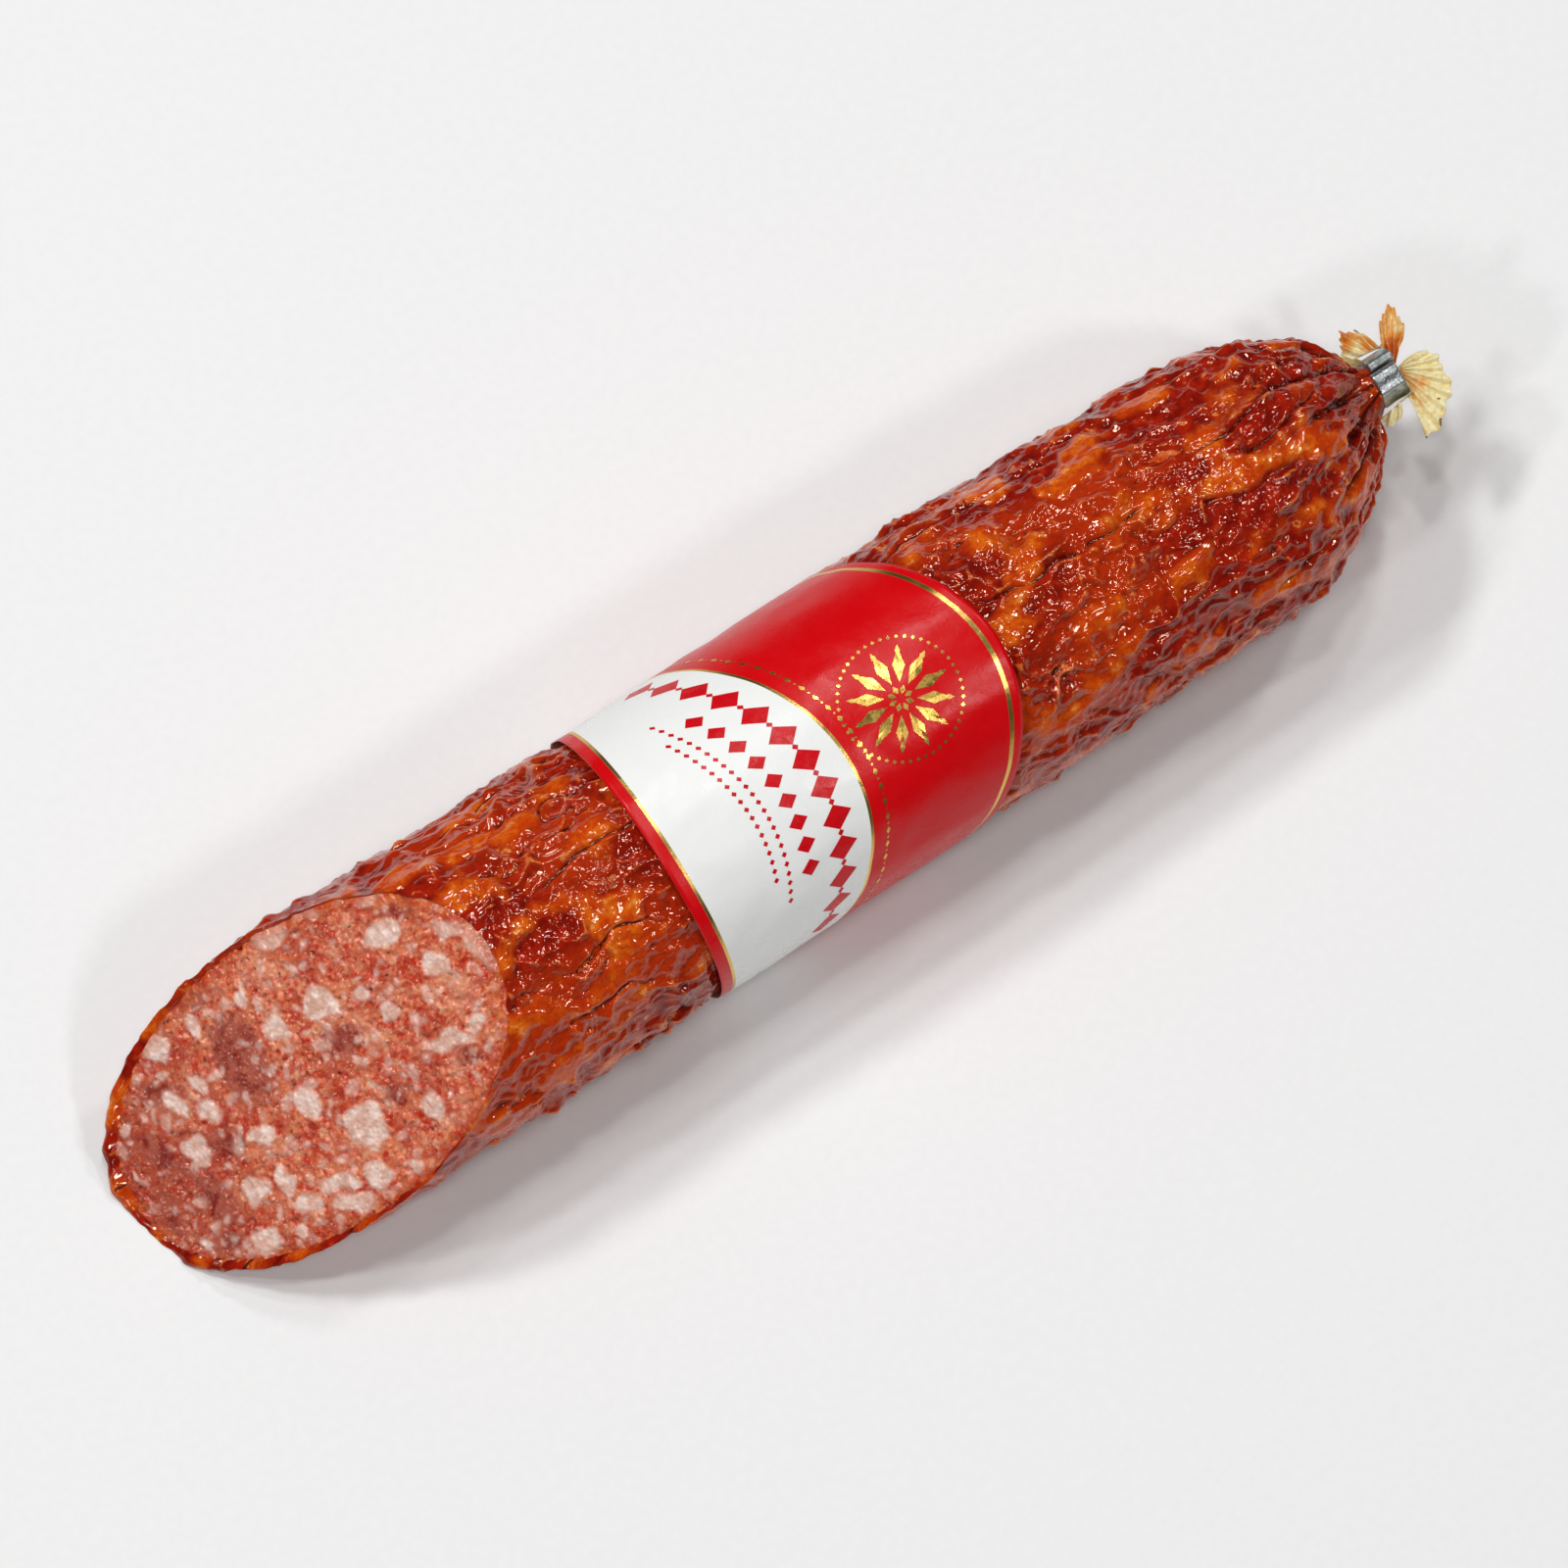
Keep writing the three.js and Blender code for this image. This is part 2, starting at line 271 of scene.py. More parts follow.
def on_film(field, s, girth):
    """The field's value at these places, wrapping round the stick."""
    row = np.clip((s + FILM_BEFORE_TIP) / FILM_STEP, 0, film_rows - 1.001)
    column = np.mod(girth / FILM_GIRTH * film_columns, film_columns)
    r0, c0 = np.floor(row).astype(int), np.floor(column).astype(int) % film_columns
    r1, c1 = np.minimum(r0 + 1, film_rows - 1), (c0 + 1) % film_columns
    return between(field, (r0, r1), (c0, c1), row - r0, column - np.floor(column))


film_s = np.arange(film_rows)[:, None] * FILM_STEP - FILM_BEFORE_TIP + np.zeros((1, film_columns))
film_girth = np.arange(film_columns)[None, :] * (FILM_GIRTH / film_columns) + np.zeros((film_rows, 1))


def crumpled(size, stretch, softness=0.22):
    """Smooth hollows between sharp, nearly straight ridges, as thin film takes when it crumples."""
    rows = round(FILM_LENGTH / (size * stretch))
    columns = round(FILM_GIRTH / size)
    hollow_s, hollow_girth = dice.uniform(0.1, 0.9, (2, rows, columns))
    tilt_s, tilt_girth = dice.uniform(-0.7, 0.7, (2, rows, columns))
    sunk = dice.uniform(-0.25, 0.25, (rows, columns))
    place_s = (film_s + 0.35 * size * swells(2.5 * size)) / FILM_LENGTH * rows
    place_girth = (film_girth + 0.35 * size * swells(2.5 * size)) / FILM_GIRTH * columns
    row, column = np.floor(place_s).astype(int), np.floor(place_girth).astype(int)
    height = np.full(film_s.shape, 9.0)
    for row_step in (-2, -1, 0, 1, 2):
        for column_step in (-2, -1, 0, 1, 2):
            r, c = (row + row_step) % rows, (column + column_step) % columns
            along = place_s - (row + row_step) - hollow_s[r, c]
            across = place_girth - (column + column_step) - hollow_girth[r, c]
            hollow = along**2 + across**2 + tilt_s[r, c] * along + tilt_girth[r, c] * across + sunk[r, c]
            height = np.minimum(height, hollow)
    height = blurred(height, softness)
    return (height - height.mean()) / height.std()


def parallel_folds(size):
    """Close parallel folds whose direction wanders over the film."""
    wander = 0.9 * swells(34, 1.6)
    total, weights = 0.0, 1e-6
    for k in range(8):
        turn = math.pi * k / 8
        across = wave_s * math.sin(turn) + wave_girth * math.cos(turn)
        along = -wave_s * math.cos(turn) + wave_girth * math.sin(turn)
        bell = np.exp(-(((np.abs(across) * size - 1) / 0.3) ** 2) - (along * size / 0.42) ** 2)
        weight = np.exp(-(np.sin(wander - (turn if turn < math.pi / 2 else turn - math.pi)) / 0.28) ** 2)
        total = total + weight * normal_noise(bell)
        weights = weights + weight
    return total / weights


# Where fat lies just under the film: rounded patches about 7 to 14 mm across.
fat_patches = bumps(14, 1.5, 0.7)
fat_under = ease(fat_patches + 0.25 * bumps(5), 0.0, 1.6)
slack = (1 - 0.62 * ease(fat_patches, 0.1, 1.3)) * (0.75 + 0.40 * ease(swells(16, 1.3), -1, 1.4))

big_folds = crumpled(7.0, 2.0)
small_folds = crumpled(3.6, 1.6)
fine_folds = crumpled(2.0, 1.3)
stripes = parallel_folds(1.9)
stripe_patches = ease(swells(8, 1.4), 0.0, 1.2)
# Creases along the stick, spaced evenly round it, which wander and fade in and out.
LENGTHWISE_CREASES = 15
CREASE_WIDTH = 0.75
CREASE_DEPTH = 0.9
phase_per_mm = math.pi * LENGTHWISE_CREASES / FILM_GIRTH
wandering = film_girth + 3.4 * swells(20, 2.4) + 1.0 * swells(6, 1.5)
off_crease = np.abs(np.sin(phase_per_mm * wandering)) / phase_per_mm
creases = np.exp(-((off_crease / CREASE_WIDTH) ** 1.4)) * ease(swells(14, 2.4), -0.1, 1.0)

film_height = (
    0.30 * swells(24, 1.6)
    + 0.50 * fat_under
    + slack * (0.34 * big_folds + 0.36 * small_folds + 0.14 * fine_folds)
    + slack * stripe_patches * 0.10 * (1 - np.abs(stripes))
    - CREASE_DEPTH * creases
)
film_height = film_height - film_height.mean()
# Painted shade and highlight: positive in the relief's valleys, which the film's colour darkens, and negative
# on its ridges, which it lightens.
grooves = np.clip(blurred(film_height, 1.9) - film_height, -0.5, 0.9)


# The creases that gather the film: how far round each lies, how long it is and how it wanders.
GATHERING_CREASES = 15
crease_angles = (np.arange(GATHERING_CREASES) + dice.uniform(-0.3, 0.3, GATHERING_CREASES)) * (
    2 * math.pi / GATHERING_CREASES
)
crease_lengths = dice.uniform(20, 62, GATHERING_CREASES)
crease_wanders = dice.uniform(-0.14, 0.14, GATHERING_CREASES)


def gathering(skin, angle):
    """1 in the bottom of a crease that runs to the neck, 0 away from them."""
    deepest = np.zeros(np.broadcast(skin, angle).shape)
    for place, length, wander in zip(crease_angles, crease_lengths, crease_wanders):
        to_neck = SKIN_END - skin
        line = place + wander * np.sin(to_neck / 9 + 7 * place) * ease(to_neck, 0, 30)
        off = np.abs(np.mod(angle - line + math.pi, 2 * math.pi) - math.pi)
        width = 0.036 + 0.05 * (1 - ease(to_neck, 2, 22))
        share = np.exp(-((off / width) ** 1.3)) * (1 - ease(to_neck, 0.35 * length, length))
        deepest = np.maximum(deepest, share)
    return deepest


def pleats(skin, angle):
    """Long pleats that gather the film towards the neck."""
    nearness = ease(skin, SKIN_END - 26, SKIN_END - 6)
    girth = angle * MIDDLE_RADIUS
    bend = 0.10 * on_film(big_folds, skin, girth) + 0.22 * np.sin(2 * angle + 0.05 * skin)
    wide = np.abs(np.sin(7.5 * angle + 3 * bend + 1.1))
    narrow = np.abs(np.sin(17 * angle + 5 * bend))
    deep = 1.2 * (wide**0.4 - 1) + 0.5 * (narrow**0.5 - 1) + 0.4
    closing = 1 - 0.55 * ease(skin, SKIN_END - 5, SKIN_END + 1)
    return nearness * deep * closing - 1.8 * gathering(skin, angle) * closing


# Where the cut lies round the stick, so that the film can lie calmer next to it.
rim_turns = np.linspace(0, 2 * math.pi, 721)
rim_places = cut_rim(rim_turns, 0.0)


FILM_SUNK = 0.65
LABEL_PRESS = 0.6


def film_lift(skin, angle, label_room):
    """How far the film stands off the stick's plain form."""
    girth = angle * MIDDLE_RADIUS
    lift = on_film(film_height, skin, girth)
    from_cut = skin - np.interp(np.mod(angle, 2 * math.pi), rim_turns, rim_places)
    calm = (1 - 0.6 * ease(skin, SKIN_END - 18, SKIN_END)) * (1 - 0.6 * ease(from_cut, 5, -1))
    pressed = LABEL_PRESS * label_room
    return lift * calm * (1 - pressed) + pleats(skin, angle) - pressed - FILM_SUNK


# ==================================================================== the casing, cut end
# The same film from the cut edge to under the label. At the cut its thin edge stands a little
# proud of the meat and is slightly ragged. It is meshed as two closed stretches that share
# their edges, each with a plain inner side hidden by the meat.

CASING_THICKNESS = 0.28
FILM_COLUMNS = 600
STRETCH_ROWS = 158
# How far the film goes on under the label at its near and its far edge.
UNDER_LABEL = 9.0
UNDER_FAR_EDGE = 6.0
# How far the film's hidden inner side stands off the stick's plain form.
HIDDEN_LIFT = -2.0
film_angles = np.linspace(0, 2 * math.pi, FILM_COLUMNS, endpoint=False)
film_tone = swells(20, 1.5)


def label_room(skin, angle):
    """1 where the label lies over the film and presses it in, 0 away from it."""
    near = ease(skin, LABEL_FROM_TIP - 2.6, LABEL_FROM_TIP - 0.4)
    far = ease(skin, label_end(angle) + 0.4, label_end(angle) + 2.6)
    return near - far


def film_stretch(name, skin, inner_rings):
    """A closed stretch of film: its outer side, then rings of (skin, lift) for its inner side."""
    angle = np.broadcast_to(film_angles[None, :], skin.shape)
    rings = [skin_point(skin, angle, film_lift(skin, angle, label_room(skin, angle))).reshape(-1, 3)]
    skins = [skin.ravel()]
    for ring_skin, ring_lift in inner_rings:
        ring_skin = ring_skin + 0 * film_angles
        rings.append(skin_point(ring_skin, film_angles, ring_lift, floor=CASING_THICKNESS))
        skins.append(ring_skin)
    rows = len(skin) + len(inner_rings)
    first = np.arange(FILM_COLUMNS)
    last = first + (rows - 1) * FILM_COLUMNS
    closing = np.stack([last, np.roll(last, -1), np.roll(first, -1), first], axis=-1)
    piece = piece_from(name, np.concatenate(rings), [ring_faces(rows, FILM_COLUMNS), closing])
    edge_ends = np.empty(2 * len(piece.data.edges), dtype=np.int32)
    piece.data.edges.foreach_get("vertices", edge_ends)
    edge_rows = edge_ends.reshape(-1, 2) // FILM_COLUMNS
    at_border = (edge_rows[:, 0] == edge_rows[:, 1]) & np.isin(edge_rows[:, 0], [0, len(skin) - 1])
    sharp = piece.data.attributes.new("sharp_edge", "BOOLEAN", "EDGE")
    sharp.data.foreach_set("value", at_border)
    place, girth = np.concatenate(skins), np.tile(film_angles, rows) * MIDDLE_RADIUS
    paint(
        piece,
        fat_under=on_film(fat_under, place, girth),
        # Painted shade in the relief's valleys and the gathering creases, painted highlight on the ridges.
        grooves=on_film(grooves, place, girth) + 0.3 * gathering(place, girth / MIDDLE_RADIUS),
        tone=on_film(film_tone, place, girth),
        gathered=ease(place, SKIN_END - 26, SKIN_END),
    )
    return piece


ragged = 0.16 * on_film(bumps(5.0), 40 + 0 * film_angles, film_angles * MIDDLE_RADIUS)
ragged = ragged + 0.07 * on_film(bumps(2.2), 60 + 0 * film_angles, film_angles * MIDDLE_RADIUS)
cut_edge = cut_rim(film_angles, 0.0) - 0.35 - np.clip(ragged, -0.4, 0.9)
edge_lift = film_lift(cut_edge, film_angles, 0.0)
half_way = (cut_edge + LABEL_FROM_TIP + UNDER_LABEL) / 2
share = np.linspace(0, 1, STRETCH_ROWS)[:, None]
casing_cut_edge = film_stretch(
    "casing_cut_edge",
    cut_edge + (half_way - cut_edge) * share,
    [(half_way, HIDDEN_LIFT), (cut_edge + 1.0, HIDDEN_LIFT + 0.1), (cut_edge, edge_lift - CASING_THICKNESS)],
)
casing_before_label = film_stretch(
    "casing_before_label",
    half_way + (LABEL_FROM_TIP + UNDER_LABEL - half_way) * share,
    [(LABEL_FROM_TIP + UNDER_LABEL, HIDDEN_LIFT), (half_way, HIDDEN_LIFT)],
)

# ==================================================================== the casing, clip end
# The far part of the same film: from under the label, over the rounded end, and gathered into
# long pleats where the clip pinches it into a neck. It is meshed as three such stretches.

far_start = label_end(film_angles) - UNDER_FAR_EDGE
far_end = SKIN_END + NECK_END - NECK_START - 1.0
far_marks = [far_start + (far_end - far_start) * part for part in (0, 0.36, 0.7, 1)]
casing_past_label, casing_far, casing_gathered = (
    film_stretch(name, low + (high - low) * share, [(high, HIDDEN_LIFT - 0.2), (low, HIDDEN_LIFT)])
    for name, low, high in zip(
        ("casing_past_label", "casing_far", "casing_gathered"), far_marks[:-1], far_marks[1:]
    )
)

# The film is glossy, tough and translucent: brick red from the smoke and orange where fat lies
# just beneath it. Painted shade darkens its grooves and fine creases, and painted highlight
# lightens its ridges.


def new_material(name):
    material = bpy.data.materials.new(name)
    material.use_nodes = True
    return material, material.node_tree, material.node_tree.nodes["Principled BSDF"]


def srgb(red, green, blue):
    """A colour given as eight-bit screen values."""
    steps = [v / 255 for v in (red, green, blue)]
    return (*(v / 12.92 if v <= 0.04045 else ((v + 0.055) / 1.055) ** 2.4 for v in steps), 1.0)


def feed(tree, socket, term):
    """Links a node's output to the socket, or gives it a plain number or colour."""
    if isinstance(term, bpy.types.NodeSocket):
        tree.links.new(term, socket)
    else:
        socket.default_value = term


def node_in(tree, kind, inputs=(), **settings):
    """A new node with these settings, whose inputs are numbers or other nodes' outputs."""
    node = tree.nodes.new(kind)
    for setting, value in settings.items():
        setattr(node, setting, value)
    for socket, term in dict(inputs).items():
        feed(tree, node.inputs[socket], term)
    return node


def math_node(tree, operation, *terms):
    node = node_in(tree, "ShaderNodeMath", enumerate(terms), operation=operation)
    return node.outputs["Value"]


def value_of(tree, name):
    return node_in(tree, "ShaderNodeAttribute", attribute_name=name).outputs["Fac"]


def noise_of(tree, size, detail=3.0, roughness=0.55, distortion=0.0):
    """Noise whose lumps are about `size` millimetres across."""
    inputs = {
        "Vector": node_in(tree, "ShaderNodeTexCoord").outputs["Object"],
        "Scale": 1 / (size * MM),
        "Detail": detail,
        "Roughness": roughness,
        "Distortion": distortion,
    }
    return node_in(tree, "ShaderNodeTexNoise", inputs).outputs["Fac"]


def spread_of(tree, value, low, high, to_low=0.0, to_high=1.0):
    inputs = {"Value": value, "From Min": low, "From Max": high, "To Min": to_low, "To Max": to_high}
    return node_in(tree, "ShaderNodeMapRange", inputs, interpolation_type="SMOOTHSTEP").outputs["Result"]


def sum_of(tree, *terms):
    """The sum of (value, weight) pairs."""
    total = 0.0
    for value, weight in terms:
        total = math_node(tree, "MULTIPLY_ADD", value, weight, total)
    return total


def product_of(tree, first, second):
    return math_node(tree, "MULTIPLY", first, second)


def tinted(tree, base, colour, share):
    """The base colour with this much of another colour laid over it."""
    inputs = {"Factor": share, 6: base, 7: colour}
    return node_in(tree, "ShaderNodeMix", inputs, data_type="RGBA", clamp_factor=True).outputs[2]


def layered(tree, base, *layers):
    """The base with each (colour, value, low, high, share at low, share at high) laid over it."""
    for colour, value, *span in layers:
        base = tinted(tree, base, srgb(*colour), spread_of(tree, value, *span))
    return base


def mixed(tree, one, other, value, low, high):
    """One colour giving way to the other as the value rises from low to high."""
    return layered(tree, srgb(*one), (other, value, low, high))


def bumped(tree, height, depth):
    """A bump whose height of 1 stands this many millimetres high."""
    inputs = {"Distance": depth * MM, "Height": height}
    return node_in(tree, "ShaderNodeBump", inputs).outputs["Normal"]


def finish_of(material, tree, shader, inputs):
    """The material, once these inputs of its shader are set or linked."""
    for name, term in inputs.items():
        feed(tree, shader.inputs[name], term)
    return material


CRINKLES_DRAWN_OUT = 0.6


def crinkle_group():
    """Creases finer than the mesh: sharp little ridges between flat spots."""
    group = bpy.data.node_groups.new("film_crinkle", "ShaderNodeTree")
    for name, value in (("Size", 900.0), ("Drawn Out", CRINKLES_DRAWN_OUT)):
        socket = group.interface.new_socket(name, in_out="INPUT", socket_type="NodeSocketFloat")
        socket.default_value = value
    group.interface.new_socket("Height", in_out="OUTPUT", socket_type="NodeSocketFloat")
    given = node_in(group, "NodeGroupInput").outputs
    place = node_in(group, "ShaderNodeTexCoord").outputs["Object"]
    drawn = node_in(group, "ShaderNodeCombineXYZ", {"X": given["Drawn Out"], "Y": 1.0, "Z": 1.0})
    inputs = {0: place, 1: drawn.outputs["Vector"]}
    stretched = node_in(group, "ShaderNodeVectorMath", inputs, operation="MULTIPLY")
    inputs = {
        "Vector": stretched.outputs["Vector"],
        "Scale": given["Size"],
        "Detail": 0.6,
        "Distortion": 0.6,
    }
    noise = node_in(group, "ShaderNodeTexNoise", inputs).outputs["Fac"]
    folded = math_node(group, "ABSOLUTE", math_node(group, "SUBTRACT", noise, 0.5))
    node_in(group, "NodeGroupOutput", {"Height": folded})
    return group


film_crinkle = crinkle_group()


def crinkle_of(tree, size):
    """Creases whose folds are about `size` millimetres across."""
    node = node_in(tree, "ShaderNodeGroup", node_tree=film_crinkle)
    feed(tree, node.inputs["Size"], 1 / (size * MM))
    return node.outputs["Height"]


def smoked_film():
    material, tree, shader = new_material("smoked_film")
    mottling, specks = noise_of(tree, 3.2, 4.0), noise_of(tree, 0.8, 2.0)
    grooves, tone = value_of(tree, "grooves"), value_of(tree, "tone")
    wide_crinkles, crinkles = crinkle_of(tree, 2.4), crinkle_of(tree, 1.2)
    red = mixed(tree, (122, 7, 1), (168, 28, 3), mottling, 0.34, 0.66)
    red = layered(tree, red, ((186, 50, 5), tone, -0.6, 2.0, 0.0, 0.8))
    orange = mixed(tree, (196, 60, 3), (224, 108, 16), mottling, 0.4, 0.7)
    fat = product_of(tree, value_of(tree, "fat_under"), spread_of(tree, specks, 0.2, 0.6, 0.75, 1.0))
    pale_flecks = product_of(tree, spread_of(tree, mottling, 0.62, 0.70), spread_of(tree, specks, 0.4, 0.6))
    colour = tinted(tree, red, orange, fat)
    colour = tinted(tree, colour, srgb(230, 156, 84), product_of(tree, pale_flecks, 0.6))
    colour = layered(
        tree,
        colour,
        # Painted shade in the bottoms of the fine crinkles.
        ((110, 8, 1), crinkles, 0.04, 0.0, 0.0, 0.3),
        # Painted shade in the grooves.
        ((66, 2, 1), grooves, 0.02, 0.24, 0.0, 0.95),
        # Painted highlight on the ridges between the grooves.
        ((232, 124, 56), grooves, -0.08, -0.26, 0.0, 0.6),
    )
    inputs = {
        "Base Color": colour,
        "Roughness": spread_of(tree, specks, 0.3, 0.7, 0.06, 0.12),
        "Specular IOR Level": 0.5,
        "Specular Tint": (1.0, 0.78, 0.58, 1.0),
        "Coat Weight": 0.15,
        "Coat Roughness": 0.04,
        "Normal": bumped(tree, sum_of(tree, (wide_crinkles, 1.0), (crinkles, 0.25)), 0.36),
    }
    return finish_of(material, tree, shader, inputs)


film_finish = smoked_film()
for film_piece in (casing_cut_edge, casing_before_label, casing_past_label, casing_far, casing_gathered):
    film_piece.data.materials.append(film_finish)
    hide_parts("casing")
    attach(film_piece, "root")

# ==================================================================== the meat
# Coarse mince, cured and dried: pale dice of back fat and a few darker pieces of lean in a
# salmon-red grain. The knife's bias cut shows it all, moist, with small torn hollows. Behind
# the cut the filling is hidden by the casing, and is left plain.

FACE_SIDE = 286
FACE_STEP = 0.2
FACE_SPAN = 104.0
FACE_TILT = math.hypot(1, CUT_SLOPE)
face_count = int(FACE_SPAN / FACE_STEP)
face_wave_u = np.fft.fftfreq(face_count, FACE_STEP)[:, None]
face_wave_v = np.fft.fftfreq(face_count, FACE_STEP)[None, :]
knife = np.random.default_rng(19)
face_axis = (np.arange(face_count) - face_count / 2) * FACE_STEP
face_u, face_v = np.meshgrid(face_axis, face_axis, indexing="ij")


def grain(size, stretch_u=1.0, stretch_v=1.0, sharpness=0.5):
    """Noise over the cut face whose bumps repeat about every `size`."""
    wave = np.hypot(face_wave_u * stretch_u, face_wave_v * stretch_v) * size
    return normal_noise(np.exp(-(((wave - 1) / sharpness) ** 2)), knife)


def softened(field, size):
    return smoothed(field, np.hypot(face_wave_u, face_wave_v) * size)


def on_face(field, u, v):
    row = np.clip(u / FACE_STEP + face_count / 2, 0, face_count - 1.001)
    column = np.clip(v / FACE_STEP + face_count / 2, 0, face_count - 1.001)
    r, c = np.floor(row).astype(int), np.floor(column).astype(int)
    return between(field, (r, r + 1), (c, c + 1), row - r, column - c)


# The pieces that stand out most: place up and across the face, length, width and turn.
FAT_DICE = [
    (9.5, -26, 8, 5, 5), (18, -25, 5, 3, 20), (29, -13, 7.5, 4.5, 5), (45, -1, 10, 6.5, 80),
    (35, -3, 4.6, 4.2, 30), (10.5, -10, 7, 6, 50), (18.5, -6.5, 4, 3.6, 0), (0, -11, 5.8, 3.2, 70),
    (-23.5, -21.5, 6, 5, 40), (28, 9.5, 9, 3.2, 15), (35, 10, 4, 3.4, 60), (-3, 3, 6.6, 4.6, 75),
    (4.5, 12.5, 8.5, 7.5, 20), (-15, 3, 5, 3.2, 25), (-21, -6.5, 5, 3.4, 75), (-20, -11.5, 4, 2.4, 85),
    (-28, -2, 6, 3.4, 70), (-26, -11, 5, 3.4, 60), (-16, 12, 5, 4, 80), (-7, 18.5, 8, 3, 25),
    (1, 21.5, 5.6, 5, 0), (-6.5, 23, 9, 3.4, 30), (-15, 18, 5.4, 3.4, 20), (-26, 19, 6, 4, 45),
    (-19, 21.5, 3, 3, 0), (8.5, 24.5, 3, 2.6, 0), (-37, 12.5, 3.6, 2.4, 60), (-3, -19, 4, 4, 10),
    (-14, -21, 4, 3.4, 50), (30, -20, 5, 3, 10), (21, -1.5, 3.2, 3, 0), (18, 18, 4.6, 3.6, 30),
    (-22, 10.5, 5.4, 5, 20), (41, -6.5, 4.6, 3.6, 40),
]
LEAN_PIECES = [
    (-9.5, -11, 19, 11, 100), (-22, 0, 8, 6.5, 60), (-30, 7.5, 12, 6, 85), (10, -2, 9, 6, 20),
    (35, -15, 7, 4, 15), (-28, -15, 10, 4.5, 30), (13, 11.5, 7, 4, 10), (30, 14, 7, 3, 20),
    (-35, -5, 11, 5.5, 75), (-40, 4, 8, 4, 100), (-12, -25, 12, 4, 10), (-33, 15, 7, 3.4, 30),
]
SMALL_DICE = 300


def depth_in(pieces, corner=2.4):
    """How deep each spot of the face lies inside the nearest of these pieces, in millimetres."""
    warp_u, warp_v = 0.4 * grain(7), 0.4 * grain(7)
    deepest = np.full(face_u.shape, -9.0)
    for u, v, length, width, turn in pieces:
        reach = length + 2
        rows = slice(*np.searchsorted(face_axis, [u - reach, u + reach]))
        columns = slice(*np.searchsorted(face_axis, [v - reach, v + reach]))
        du = face_u[rows, columns] - u + warp_u[rows, columns]
        dv = face_v[rows, columns] - v + warp_v[rows, columns]
        c, s = math.cos(math.radians(turn)), math.sin(math.radians(turn))
        along, across = np.abs(du * c + dv * s) / (length / 2), np.abs(dv * c - du * s) / (width / 2)
        share = (along**corner + across**corner) ** (1 / corner)
        deepest[rows, columns] = np.maximum(deepest[rows, columns], (1 - share) * width / 2)
    return deepest


small_dice = []
while len(small_dice) < SMALL_DICE:
    u, v = knife.uniform(-47, 47), knife.uniform(-28.5, 28.5)
    size = knife.uniform(0.7, 2.3)
    clear = all(
        math.hypot(u - other[0], v - other[1]) > 0.45 * (other[2] + other[3]) / 2 + 0.5 * size
        for other in FAT_DICE + small_dice
    )
    if clear:
        small_dice.append((u, v, size * knife.uniform(1, 1.7), size, knife.uniform(0, 180)))

fat_depth = depth_in(FAT_DICE)
crumb_depth = depth_in(small_dice, 2.0)
lean_depth = depth_in(LEAN_PIECES, 2.2)
fat_mask = np.maximum(ease(fat_depth, -0.5, 0.5), 0.6 * ease(crumb_depth, -0.35, 0.5))
lean_mask = ease(lean_depth + 0.3 * grain(2.0), -0.7, 1.0) * (1 - ease(fat_depth, -0.12, 0.1))
fibres = grain(1.5, 1.0, 0.14, 0.4)
bend = np.clip(((face_v + 11) / 9), -2, 2) ** 2
fibres = on_face(fibres, face_v * 0.9 + 1.6 * bend, face_u + 0.3 * face_v)
coarse, medium, fine = grain(3.0, sharpness=0.7), grain(1.5), grain(0.75)
crumbly = (1 - fat_mask) * (1 - 0.8 * lean_mask)
torn = ease(grain(2.4) + 0.6 * fine, 2.5, 3.1) * crumbly
face_relief = (
    crumbly * (0.14 * coarse + 0.09 * medium + 0.04 * fine)
    + 0.10 * softened(fat_mask, 0.8)
    + fat_mask * 0.03 * coarse
    + lean_mask * 0.05 * fibres
    - 0.5 * torn
    + 0.25 * softened(coarse, 6)
)
# Painted shade: how far each spot lies below its smoothed surroundings, for darkening the face's hollows.
hollow_shade = np.clip(softened(face_relief, 1.2) - face_relief, -0.3, 0.5)

# The face's mesh is a square grid drawn into a disc, so that its cells stay even.
edge = np.linspace(-1, 1, FACE_SIDE)
grid_a, grid_b = np.meshgrid(edge, edge, indexing="ij")
larger = np.where(np.abs(grid_a) > np.abs(grid_b), grid_a, grid_b)
smaller = np.where(np.abs(grid_a) > np.abs(grid_b), grid_b, grid_a)
ratio = smaller / np.where(larger == 0, 1, larger)
bearing = np.where(
    np.abs(grid_a) > np.abs(grid_b), math.pi / 4 * ratio, math.pi / 2 - math.pi / 4 * ratio
)
bearing = np.where(larger < 0, bearing + math.pi, bearing)
disc_share = np.abs(larger)
disc_angle = np.mod(bearing, 2 * math.pi)

MEAT_DEPTH = 0.34
MEAT_FLOOR = 0.3
rim_skin = cut_rim(disc_angle, -MEAT_DEPTH)
rim_lift = film_lift(rim_skin, disc_angle, 0.0) - MEAT_DEPTH - 0.05
rim = ring_point(rim_skin, stick_radius(rim_skin) + rim_lift, disc_angle, floor=MEAT_FLOOR + 0.02)
face_middle = cut_middle()
face_up = np.array([CUT_SLOPE, math.cos(CUT_FRONT), math.sin(CUT_FRONT)]) / FACE_TILT
face_across = np.array([0.0, -math.sin(CUT_FRONT), math.cos(CUT_FRONT)])
face_out = np.cross(face_across, face_up)
face_out = face_out if face_out[0] < 0 else -face_out
rim_u, rim_v = (rim - face_middle) @ face_up, (rim - face_middle) @ face_across
spot_u, spot_v = rim_u * disc_share, rim_v * disc_share
from_rim = (1 - disc_share) * np.hypot(rim_u, rim_v)
relief = on_face(face_relief, spot_u, spot_v)
relief = relief * ease(from_rim, -0.5, 1.2) - 0.35 * (1 - ease(from_rim, 0, 1.6)) + 0.35 * (1 - disc_share**4)
